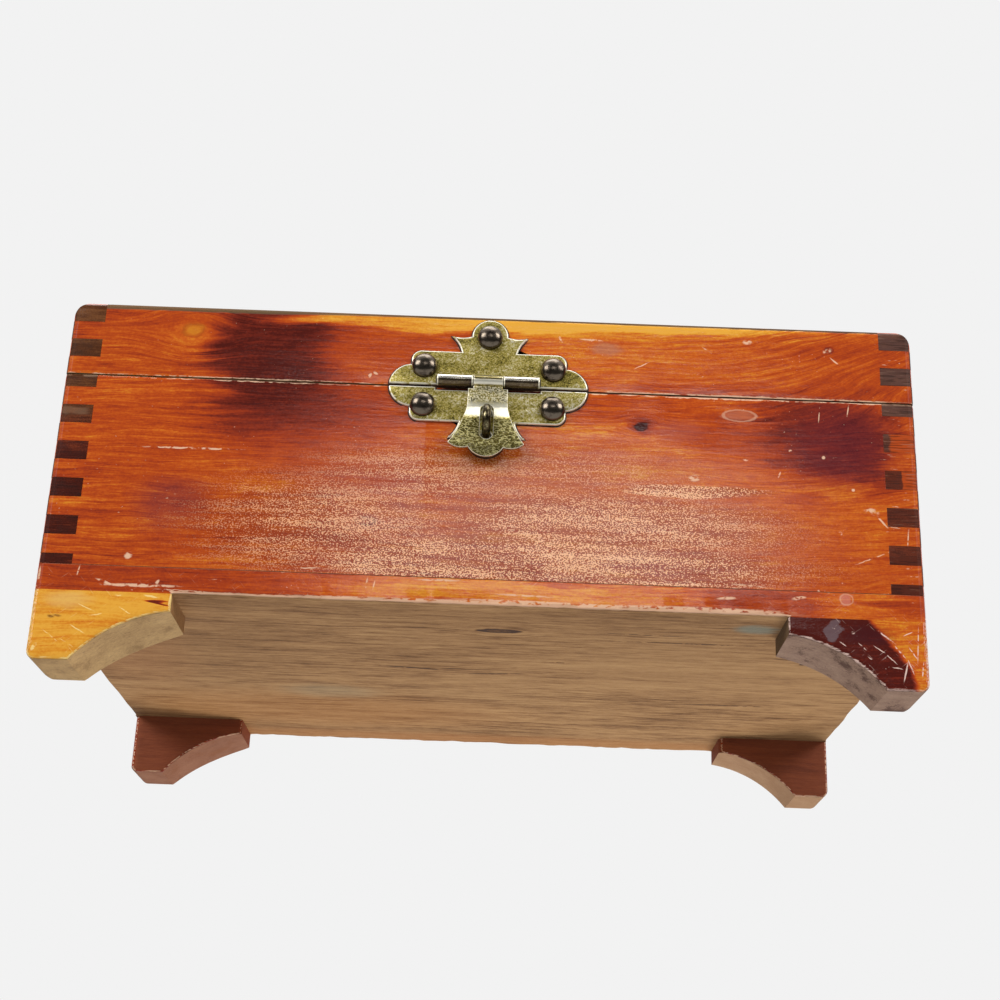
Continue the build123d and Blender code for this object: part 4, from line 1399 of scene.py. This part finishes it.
class JEWELRYBOX_OT_stage(Operator):
    """Camera, floor, lamps and backdrop"""

    bl_idname = "jewelry_box.stage"
    bl_label = "Stage"

    def execute(self, context):
        stage = settings()[2]
        scene = context.scene
        scene.view_settings.view_transform = "Standard"
        camera = bpy.data.objects.new("camera", bpy.data.cameras.new("camera"))
        camera.data.sensor_width = SENSOR_WIDTH
        camera.data.lens = stage.lens
        camera.data.clip_start = 0.01
        camera.location = CAMERA_PLACE
        camera.rotation_euler = [math.radians(turn) for turn in CAMERA_TURN]
        scene.collection.objects.link(camera)
        scene.camera = camera
        self.add_world(scene, stage)
        self.add_floor(stage)
        self.add_cards()
        for name, (watts, place, target, size) in LAMPS.items():
            lamp = self.add_lamp(scene, name, place, target, size, getattr(stage, watts))
            lamp.visible_glossy = name != "under_box"
        return {"FINISHED"}

    def add_world(self, scene, stage):
        """A pale backdrop for the camera and for reflections, and a softer even light for the rest."""
        scene.world = bpy.data.worlds.new("backdrop")
        sky = Finish("backdrop", scene.world)
        camera_ray = sky.add("ShaderNodeLightPath", output="Is Camera Ray")
        sight = sky.maths("MAXIMUM", camera_ray, camera_ray.other("Is Glossy Ray"))
        through = sky.maths("MAXIMUM", sight, camera_ray.other("Is Transmission Ray"))
        reach = {"Value": through, "To Min": stage.ambient, "To Max": 1.0}
        strength = sky.add("ShaderNodeMapRange", values=reach)
        backdrop = sky.add("ShaderNodeBackground", values={"Color": stage.backdrop, "Strength": strength})
        sky.add("ShaderNodeOutputWorld", values={"Surface": backdrop})

    def add_floor(self, stage):
        """A round pale floor that fades into the backdrop, clear from below so the camera sees past it."""
        shape = bmesh.new()
        bmesh.ops.create_circle(shape, cap_ends=True, segments=96, radius=FLOOR_RADIUS)
        floor = new_object("floor", shape)
        self.hide(floor, "diffuse", "glossy", "transmission", "shadow")
        finish = Finish("floor_paper")
        place = finish.add("ShaderNodeTexCoord", output="Object")
        far = finish.add("ShaderNodeVectorMath", {"operation": "LENGTH"}, {0: place}, output="Value")
        fade = finish.step(far, *FLOOR_FADE)
        below = finish.add("ShaderNodeNewGeometry", output="Backfacing")
        clear = finish.add("ShaderNodeBsdfTransparent")
        paper = finish.add("ShaderNodeBsdfDiffuse", values={"Color": stage.backdrop})
        seen = finish.maths("MAXIMUM", fade, below)
        surface = finish.add("ShaderNodeMixShader", values={0: seen, 1: paper, 2: clear})
        finish.add("ShaderNodeOutputMaterial", values={"Surface": surface})
        floor.data.materials.append(finish.material)

    def add_cards(self):
        """Dark cards all round, seen only in reflections, which give the varnish and brass their depth."""
        finish = Finish("dark_card")
        glow = finish.add("ShaderNodeEmission", values={"Color": CARD_GREY, "Strength": 1.0})
        finish.add("ShaderNodeOutputMaterial", values={"Surface": glow})
        for name, (turn, far, tall) in CARDS.items():
            shape = bmesh.new()
            bmesh.ops.create_grid(shape, x_segments=1, y_segments=1, size=0.5)
            bmesh.ops.scale(shape, verts=shape.verts, vec=(CARD_WIDTH, tall, 1))
            bmesh.ops.rotate(shape, verts=shape.verts, matrix=Matrix.Rotation(QUARTER_TURN, 3, "X"))
            bmesh.ops.translate(shape, verts=shape.verts, vec=(0, -far, CARD_HEIGHT))
            bmesh.ops.rotate(shape, verts=shape.verts, matrix=Matrix.Rotation(math.radians(turn), 3, "Z"))
            card = new_object(f"dark_card_{name}", shape)
            self.hide(card, "camera", "diffuse", "transmission", "shadow")
            card.data.materials.append(finish.material)

    def hide(self, made, *rays):
        """Hides an object from kinds of rays."""
        for ray in rays:
            setattr(made, f"visible_{ray}", False)

    def add_lamp(self, scene, name, place, target, size, watts):
        """A soft box that the camera doesn't see."""
        lamp = bpy.data.lights.new(name, "AREA")
        lamp.shape = "RECTANGLE"
        lamp.size, lamp.size_y = size
        lamp.energy = watts
        holder = bpy.data.objects.new(name, lamp)
        holder.location = place
        holder.rotation_euler = (Vector(target) - Vector(place)).to_track_quat("-Z", "Y").to_euler()
        holder.visible_camera = False
        scene.collection.objects.link(holder)
        return holder


class JEWELRYBOX_OT_base_walls(Operator):
    """The four box-jointed walls of the base"""

    bl_idname = "jewelry_box.base_walls"
    bl_label = "Base walls"

    def execute(self, context):
        cedar = settings()[0]
        dress_ring("base", "wall", cedar.joint_wear, cedar.parting_wear, 3.1)
        return {"FINISHED"}


def inside_of(cedar, run):
    """The bare finish inside a board that runs along X, 0, or Y, 1."""
    axis = "XY"[run]
    return finish_of(f"inside {axis}", inside_finish, cedar, axis)


def dress_ring(part, word, low_wear, high_wear, seed):
    """Four boards joined into a ring: the walls of the base or the rails of the lid."""
    cedar = settings()[0]
    wears = {"low": low_wear, "high": high_wear, "joint": cedar.joint_wear}
    for n, (side, run) in enumerate((("front", 0), ("back", 0), ("left", 1), ("right", 1))):
        if side == "front":
            outside = finish_of(side, front_finish, cedar)
        else:
            outside = finish_of(side, board_finish, side, cedar)
        finishes = [outside, finish_of("end", end_grain_finish, cedar), inside_of(cedar, run)]
        dress_board(f"{part}_{side}_{word}", run, finishes, wears, seed + n)


class JEWELRYBOX_OT_lid_rails(Operator):
    """The four box-jointed rails of the lid"""

    bl_idname = "jewelry_box.lid_rails"
    bl_label = "Lid rails"

    def execute(self, context):
        cedar = settings()[0]
        dress_ring("lid", "rail", cedar.parting_wear, cedar.joint_wear, 11.7)
        return {"FINISHED"}


class JEWELRYBOX_OT_lid_panel(Operator):
    """The panel let into the top of the lid"""

    bl_idname = "jewelry_box.lid_panel"
    bl_label = "Lid panel"

    def execute(self, context):
        cedar = settings()[0]
        node = "lid_top_panel"
        shape = cad_copy(node)
        low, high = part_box(node)
        slice_up(shape, 0, board_cuts(0, low, high, 4 * MM))
        slice_up(shape, 1, board_cuts(1, low, high, 12 * MM))
        for face in shape.faces:
            face.material_index = 1 if face.normal.z < -0.5 else 0
        finish_piece(shape, node, [board_finish("panel", cedar), inside_of(cedar, 0)])
        return {"FINISHED"}


class JEWELRYBOX_OT_bottom_board(Operator):
    """The bottom board, varnished on its edge and bare below"""

    bl_idname = "jewelry_box.bottom_board"
    bl_label = "Bottom board"

    def execute(self, context):
        cedar = settings()[0]
        node = "bottom_board"
        low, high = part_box(node)
        shape = cad_copy(node)
        front_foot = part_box("foot_front_left")[1]
        back_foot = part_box("foot_back_left")[0]
        clear = 0.3 * MM
        slice_up(shape, 0, (front_foot.x + clear, -front_foot.x - clear))
        slice_up(shape, 1, (front_foot.y + clear, back_foot.y - clear))
        open_edges = [e for e in outer_edges(shape, "low") if self.is_open(e, front_foot, back_foot)]
        soften(shape, open_edges, cedar.arris_wear, 1, 3)
        soften(shape, outer_edges(shape, "high"), cedar.joint_wear, 2)
        slice_up(shape, 0, board_cuts(0, low, high, 1.6 * MM))
        slice_up(shape, 1, board_cuts(1, low, high, 6 * MM))
        slice_up(shape, 2, (low.z + 1.0 * MM, high.z - 0.4 * MM))
        wear_down(shape, {1: cedar.arris_wear * 0.8, 2: cedar.joint_wear * 0.4}, 17.3)
        for face in shape.faces:
            face.material_index = self.slot(face.normal)
        edges = [bottom_edge_finish(cedar, run) for run in "XY"]
        finish_piece(shape, node, [*edges, underside_finish(cedar), inside_of(cedar, 0)], BOARD_ANGLE)
        return {"FINISHED"}

    def is_open(self, edge, front_foot, back_foot):
        """Whether a lower edge is clear of the feet, which guard the arris from wear."""
        middle = (edge.verts[0].co + edge.verts[1].co) / 2
        between_x = abs(middle.x) < -front_foot.x
        between_y = front_foot.y < middle.y < back_foot.y
        return between_x or between_y

    def slot(self, normal):
        """0 for the long edges, 1 for the short edges, 2 for the underside and 3 for the inside."""
        if abs(normal.z) > 0.9:
            return 2 if normal.z < 0 else 3
        return 1 if abs(normal.x) > abs(normal.y) else 0


# How a foot was sanded, in millimetres: its upright corners, its far lower arris, and the sag of its arch
FootShape = namedtuple(
    "FootShape",
    "outer_far outer_near neck_far neck_near far_arris sag",
    defaults=(1.2, 1.2, 0.8, 0.4, 0.8, 0.0),
)


FOOT_SHAPES = {
    "front_left": FootShape(outer_far=3.4, far_arris=0.9, sag=1.5),
    "front_right": FootShape(outer_far=2.2, far_arris=0.6, sag=0.3),
    "back_left": FootShape(outer_near=2.4, neck_near=1.0, far_arris=1.0, sag=1.5),
    "back_right": FootShape(outer_near=1.0, neck_near=2.6, far_arris=1.2),
}
# The sawn arches: name, seed, pale, dark and blotch colours, and how blotchy
FOOT_CUTS = {
    "front_left": ("tan_cut", 111.0, (212, 174, 120), (148, 114, 76), (122, 92, 60), 0.25),
    "front_right": ("mauve_cut", 113.0, (176, 144, 122), (104, 76, 64), (72, 44, 36), 0.75),
    "back_left": ("pink_cut", 115.0, (160, 110, 82), (118, 72, 52), (140, 82, 42), 0.3),
    "back_right": ("beige_cut", 117.0, (184, 146, 112), (146, 106, 74), (172, 130, 96), 0.3),
}
# The inner sides: seed, base tone, contrast, and colours from pale to dark
FOOT_SIDES = {
    "brown": (121.0, 0.45, 0.7, (168, 92, 54), (138, 70, 42), (88, 38, 26)),
    "olive": (123.0, 0.5, 0.8, (138, 112, 78), (104, 80, 54), (62, 44, 30)),
    "fawn": (125.0, 0.45, 0.7, (176, 136, 88), (150, 108, 66), (104, 66, 40)),
}
SIDE_OF_FOOT = {"front_left": "fawn", "front_right": "olive", "back_left": "brown", "back_right": "brown"}
# How far the cuts that round a corner lie from it, as shares of its radius
ROUND_CUTS = (0.05, 0.15, 0.3, 0.45, 0.6, 0.75, 0.88, 1.0)
TOE_LENGTH = 9.8


class JEWELRYBOX_OT_feet(Operator):
    """The four bracket feet"""

    bl_idname = "jewelry_box.feet"
    bl_label = "Feet"

    def execute(self, context):
        cedar = settings()[0]
        for corner, cut in FOOT_CUTS.items():
            outside = self.outside(corner, cedar)
            side = finish_of(SIDE_OF_FOOT[corner], self.side, SIDE_OF_FOOT[corner])
            dress_foot(corner, [outside, foot_cut_finish(*cut), side], cedar.arris_wear)
        return {"FINISHED"}

    def outside(self, corner, cedar):
        """The varnished face of a foot."""
        if corner == "back_left":
            return foot_finish("back_left_foot", cedar, 107.0, 0.66, BACK_FOOT_MARKS)
        if corner == "back_right":
            return foot_finish("back_right_foot", cedar, 109.0, 0.7, BACK_FOOT_MARKS)
        if corner == "front_left":
            marks = (SAPWOOD_MARKS, (), SAPWOOD_SCRATCHES, SAPWOOD_TINTS)
            gold = paint(255, 222, 140)
            return foot_finish("left_foot_varnish", cedar, 101.0, 0.02, *marks, 0.02, gold, 0.6, 0.9)
        marks = ((), HEARTWOOD_SLOPES, HEARTWOOD_SCRATCHES, HEARTWOOD_TINTS)
        pink = paint(246, 212, 196)
        return foot_finish("right_foot_varnish", cedar, 103.0, 1.0, *marks, 0.02, pink, 0.7, 0.9)

    def side(self, name):
        """The bare inner side of a foot."""
        seed, base, contrast, *colours = FOOT_SIDES[name]
        stops = [(place, paint(*colour)) for place, colour in zip((0.0, 0.5, 1.0), colours)]
        return bare_finish(f"{name}_foot_side", "X", seed, stops, base, contrast=contrast)


def round_corner(shape, x, y, inward, radius):
    """Draws one upright corner of a foot in to a quarter circle. Inward points to the foot's middle."""
    for vert in shape.verts:
        u = 1 - (vert.co.x - x) * inward[0] / radius
        v = 1 - (vert.co.y - y) * inward[1] / radius
        if u > 0 and v > 0:
            u, v = min(u, 1), min(v, 1)
            vert.co.x = x + (1 - u * math.sqrt(1 - v * v / 2)) * radius * inward[0]
            vert.co.y = y + (1 - v * math.sqrt(1 - u * u / 2)) * radius * inward[1]


def dress_foot(corner, finishes, wear):
    """A foot with rounded corners and worn arrises: varnished outside, sawn below and brown behind."""
    node = f"foot_{corner}"
    sanded = FOOT_SHAPES[corner]
    low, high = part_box(node)
    shape = cad_copy(node)
    left = low.x < 0
    outer, neck = (low.x, high.x) if left else (high.x, low.x)
    inner = 1 if left else -1
    near, far = low.y, high.y
    near_edges = [e for e in lower_edges(shape, high.z) if e.verts[0].co.y < near + TOUCH]
    soften(shape, near_edges, wear * 0.8, 1, 3, False)
    rounds = (
        (outer, far, (inner, -1), sanded.outer_far * MM),
        (outer, near, (inner, 1), sanded.outer_near * MM),
        (neck, far, (-inner, -1), sanded.neck_far * MM),
        (neck, near, (-inner, 1), sanded.neck_near * MM),
    )
    slice_up(shape, 0, [low.x + FOOT_CUTS_X * n for n in range(1, 20)])
    shape.normal_update()
    slice_up(shape, 2, [low.z + FOOT_CUTS_Z * n for n in range(1, 12)], front_only=True)
    slice_up(shape, 1, [near + FOOT_CUTS_Y * n for n in range(1, 9)])
    slice_up(shape, 1, [far - sanded.far_arris * MM * k for k in ROUND_CUTS])
    for x, y, inward, radius in rounds:
        slice_up(shape, 0, [x + inward[0] * radius * k for k in ROUND_CUTS])
        slice_up(shape, 1, [y + inward[1] * radius * k for k in ROUND_CUTS])
    toe = abs(outer) - TOE_LENGTH * MM
    arris = sanded.far_arris * MM
    shape.normal_update()
    below = [f for f in shape.faces if f.normal.z < -0.02 and abs(f.normal.y) < 0.5]
    for vert in dict.fromkeys(v for f in below for v in f.verts):
        depth = (vert.co.y - near) / (far - near)
        reach = min(max((toe - abs(vert.co.x)) / (toe - abs(neck)), 0), 1)
        sag = sanded.sag * MM * depth * math.sin(math.pi * reach) ** 0.7
        rise = max(arris - (far - vert.co.y), 0)
        lift = arris - math.sqrt(max(arris * arris - rise * rise, 0))
        vert.co.z = min(max(vert.co.z - sag, 0) + lift, high.z - 0.2 * MM)
    for x, y, inward, radius in rounds:
        round_corner(shape, x, y, inward, radius)
    wear_down(shape, {1: wear * 0.4}, 23.0 + len(corner))
    tag = shape.faces.layers.int["arris"]
    for face in shape.faces:
        face.material_index = 0 if face[tag] == 1 else foot_slot(face, corner, left, abs(neck))
    return finish_piece(shape, node, finishes)


def lower_edges(shape, top):
    """Sharp edges of a foot below its top that don't run from front to back."""
    edges = [e for e in sharp_edges(shape) if min(v.co.z for v in e.verts) < top - TOUCH]
    return [e for e in edges if abs((e.verts[0].co - e.verts[1].co).y) < TOUCH]


def foot_slot(face, corner, left, neck):
    """0 for the varnished outside of a foot, 1 for its sawn arch and 2 for its inner sides."""
    normal = face.normal
    if normal.z < -0.25:
        return 1
    outward = -normal.x if left else normal.x
    facing_out = -normal.y if corner.startswith("front") else normal.y
    if outward < -0.5 and abs(face.calc_center_median().x) > neck + 3 * MM:
        return 1
    return 0 if outward > 0.5 or facing_out > 0.5 else 2


class JEWELRYBOX_OT_latch(Operator):
    """Latch plates, hasp, pin and staple"""

    bl_idname = "jewelry_box.latch"
    bl_label = "Latch"

    def execute(self, context):
        brass = settings()[1]
        edge = finish_of("rubbed brass", rubbed_brass, brass)
        dark = finish_of("dark metal", dark_metal)
        sheets = {
            "latch_lid_plate": aged_brass(brass, "lid_plate_brass", 5.0, barrel_shade),
            # The base plate's sheet is painted lighter than the lid plate's.
            "latch_base_plate": aged_brass(brass, "base_plate_brass", 8.0, None, 0.57),
            "latch_hasp": aged_brass(brass, "hasp_brass", 12.0, hasp_shade),
        }
        for node, sheet in sheets.items():
            dress_sheet(node, [sheet, edge, joint_dirt()], brass.edge_width, ring=node != "latch_hasp")
        dress_sheet("latch_pin", [dark, dark], brass.edge_width)
        self.bend_staple(dark)
        return {"FINISHED"}

    def bend_staple(self, finish):
        """A round wire, out of the front, round its eye and back in."""
        node = "latch_staple"
        low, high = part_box(node)
        radius = (high.x - low.x) / 2
        spacing = (high.z - low.z) / 2 - radius
        crown = Vector(((low.x + high.x) / 2, low.y + radius + spacing, (low.z + high.z) / 2))
        leg = Vector((0, crown.y - high.y, 0))
        shape = bmesh.new()
        turn = Matrix.Rotation(QUARTER_TURN, 4, "X")
        start = Matrix.Translation((crown.x, high.y, crown.z + spacing)) @ turn
        bmesh.ops.create_circle(shape, segments=24, radius=radius, matrix=start)
        made = pull(shape, shape.edges[:], leg)
        rim = [e for e in of_kind(made, BMEdge) if all(abs(v.co.y - crown.y) < TOUCH for v in e.verts)]
        spun = bmesh.ops.spin(shape, geom=rim, cent=crown, axis=(1, 0, 0), angle=math.pi, steps=20)
        pull(shape, of_kind(spun["geom_last"], BMEdge), -leg)
        bmesh.ops.holes_fill(shape, edges=shape.edges, sides=0)
        finish_piece(shape, node, [finish], SHARP_ANGLE)


def on_front(face, within):
    """Whether the middle of a face lies near the plane of the front, within a distance in metres."""
    return abs(face.calc_center_median().y - front_face * MM) < within


def dress_sheet(node, finishes, edge_width, ring=False):
    """Sheet brass or a pin with bright eased edges, partly a painted highlight, and a ring of painted shadow
    where a plate lies on the wood.
    """
    shape = cad_copy(node)
    soften(shape, sharp_edges(shape), edge_width, 1, clamp=not ring)
    tag = shape.faces.layers.int["arris"]
    for face in shape.faces:
        # A plate's upright sides take the bright edge finish too: partly worn brass, partly a painted
        # highlight.
        side = ring and abs(face.normal.y) < 0.3 and on_front(face, MM)
        face.material_index = 1 if face[tag] or side else 0
    if ring:
        lay_outline_shadow(shape, node)
    return finish_piece(shape, node, finishes)


def lay_outline_shadow(shape, node):
    """A thin uneven dark bead round the outline of a plate, on the wood: a painted shadow."""
    plate = cad_copy(node)
    above = [f for f in plate.faces if f.normal.y <= 0.99 or not on_front(f, 0.05 * MM)]
    bmesh.ops.delete(plate, geom=above, context="FACES")
    outward = {}
    for edge in plate.edges:
        if edge.is_boundary:
            along = edge.verts[1].co - edge.verts[0].co
            away = along.cross(Vector((0, 1, 0))).normalized()
            inside = edge.link_faces[0].calc_center_median() - edge.verts[0].co
            away = -away if away.dot(inside) > 0 else away
            for vert in edge.verts:
                outward[vert] = outward.get(vert, Vector()) + away
    for vert, away in outward.items():
        vert.co += away.normalized() * SHADOW_REACH
    body = bmesh.ops.extrude_face_region(plate, geom=plate.faces)["geom"]
    bmesh.ops.translate(plate, verts=of_kind(body, BMVert), vec=(0, -SHADOW_THICKNESS, 0))
    for face in plate.faces:
        face.material_index = 2
    bmesh.ops.recalc_face_normals(plate, faces=plate.faces)
    join(shape, plate)


# How far the rim of a nail's dome turns in below the plate
RIM_DEPTH = 0.12 * MM
# The dome's radius over the width of the CAD nail's head
DOME_SHARE = 0.55


class JEWELRYBOX_OT_nails(Operator):
    """Dome-headed nails of the latch and hinges"""

    bl_idname = "jewelry_box.nails"
    bl_label = "Dome nails"

    def execute(self, context):
        brass = settings()[1]
        metal = nail_metal(brass)
        for node in ("latch_lid_nails", "latch_base_nails"):
            self.drive(node, -1, brass.dome_height, metal)
        for node in ("hinge_lid_nails", "hinge_base_nails"):
            self.drive(node, 1, brass.small_dome_height, metal)
        return {"FINISHED"}

    def drive(self, node, outward, dome, finish):
        """A dome nail in place of each solid of a node. Outward is which way along Y the domes look."""
        shape = bmesh.new()
        shape.verts.layers.float.new("wear")
        for low, high in islands(node):
            tip, face = (high.y, low.y) if outward < 0 else (low.y, high.y)
            seat = face - outward * dome
            nail = self.nail((high.x - low.x) * DOME_SHARE, dome, abs(tip - seat))
            bmesh.ops.rotate(nail, verts=nail.verts, matrix=Matrix.Rotation(-QUARTER_TURN * outward, 3, "X"))
            place = ((low.x + high.x) / 2, seat, (low.z + high.z) / 2)
            bmesh.ops.translate(nail, verts=nail.verts, vec=place)
            join(shape, nail)
        finish_piece(shape, node, [finish], SHARP_ANGLE)

    def nail(self, radius, dome, depth):
        """A nail that stands on its point, with its dome up and painted shade round the foot of the dome."""
        nail = bmesh.new()
        painted_shade = nail.verts.layers.float.new("wear")
        bmesh.ops.create_uvsphere(nail, u_segments=40, v_segments=24, radius=1)
        whole = nail.verts[:] + nail.edges[:] + nail.faces[:]
        bmesh.ops.bisect_plane(
            nail, geom=whole, dist=1e-5, plane_co=(0, 0, 0), plane_no=(0, 0, 1), clear_inner=True
        )
        bmesh.ops.scale(nail, verts=nail.verts, vec=(radius, radius, dome))
        for width, below in ((0.96, RIM_DEPTH), (0.36, RIM_DEPTH), (0.2, depth)):
            made = pull(nail, [e for e in nail.edges if e.is_boundary])
            for vert in of_kind(made, BMVert):
                rim = Vector((vert.co.x, vert.co.y, 0)).normalized() * radius * width
                vert.co = Vector((rim.x, rim.y, -below))
        bmesh.ops.holes_fill(nail, edges=nail.edges, sides=0)
        for vert in nail.verts:
            # The wear layer holds painted shade, strongest at the foot of the dome.
            vert[painted_shade] = min(max(1 - vert.co.z / (0.3 * dome), 0), 1)
        return nail


class JEWELRYBOX_OT_hinges(Operator):
    """Back hinges: leaves and pins"""

    bl_idname = "jewelry_box.hinges"
    bl_label = "Hinges"

    def execute(self, context):
        brass = settings()[1]
        sheet = finish_of("hinge brass", aged_brass, brass, "hinge_brass", 25.0)
        edge = finish_of("rubbed brass", rubbed_brass, brass)
        dark = finish_of("dark metal", dark_metal)
        for side in ("left", "right"):
            dress_sheet(f"{side}_hinge_lid_leaf", [sheet, edge], brass.edge_width)
            dress_sheet(f"{side}_hinge_base_leaf", [sheet, edge], brass.edge_width)
            dress_sheet(f"{side}_hinge_pin", [dark, dark], brass.edge_width)
        return {"FINISHED"}


class JEWELRYBOX_PT_panel(Panel):
    """Lists the pieces of the box"""

    bl_label = "Jewelry box"
    bl_space_type = "VIEW_3D"
    bl_region_type = "UI"
    bl_category = "Jewelry box"

    def draw(self, context):
        for operator in OPERATORS:
            self.layout.operator(operator.bl_idname)
        for group in settings():
            for name in group.__annotations__:
                self.layout.prop(group, name)


OPERATORS = (
    JEWELRYBOX_OT_stage,
    JEWELRYBOX_OT_base_walls,
    JEWELRYBOX_OT_lid_rails,
    JEWELRYBOX_OT_lid_panel,
    JEWELRYBOX_OT_bottom_board,
    JEWELRYBOX_OT_feet,
    JEWELRYBOX_OT_latch,
    JEWELRYBOX_OT_nails,
    JEWELRYBOX_OT_hinges,
)
SETTINGS = {
    "jewelry_box_cedar": CedarSettings,
    "jewelry_box_brass": BrassSettings,
    "jewelry_box_stage": StageSettings,
}


def register():
    for name, group in SETTINGS.items():
        bpy.utils.register_class(group)
        setattr(bpy.types.Scene, name, PointerProperty(type=group))
    for operator in OPERATORS:
        bpy.utils.register_class(operator)
    bpy.utils.register_class(JEWELRYBOX_PT_panel)


def unregister():
    bpy.utils.unregister_class(JEWELRYBOX_PT_panel)
    for operator in reversed(OPERATORS):
        bpy.utils.unregister_class(operator)
    for name, group in SETTINGS.items():
        delattr(bpy.types.Scene, name)
        bpy.utils.unregister_class(group)


def main():
    """Makes the stage and the pieces."""
    register()
    bpy.ops.jewelry_box.stage()
    bpy.ops.jewelry_box.base_walls()
    bpy.ops.jewelry_box.lid_rails()
    bpy.ops.jewelry_box.lid_panel()
    bpy.ops.jewelry_box.bottom_board()
    bpy.ops.jewelry_box.feet()
    bpy.ops.jewelry_box.latch()
    bpy.ops.jewelry_box.nails()
    bpy.ops.jewelry_box.hinges()


if __name__ == "__main__":
    main()
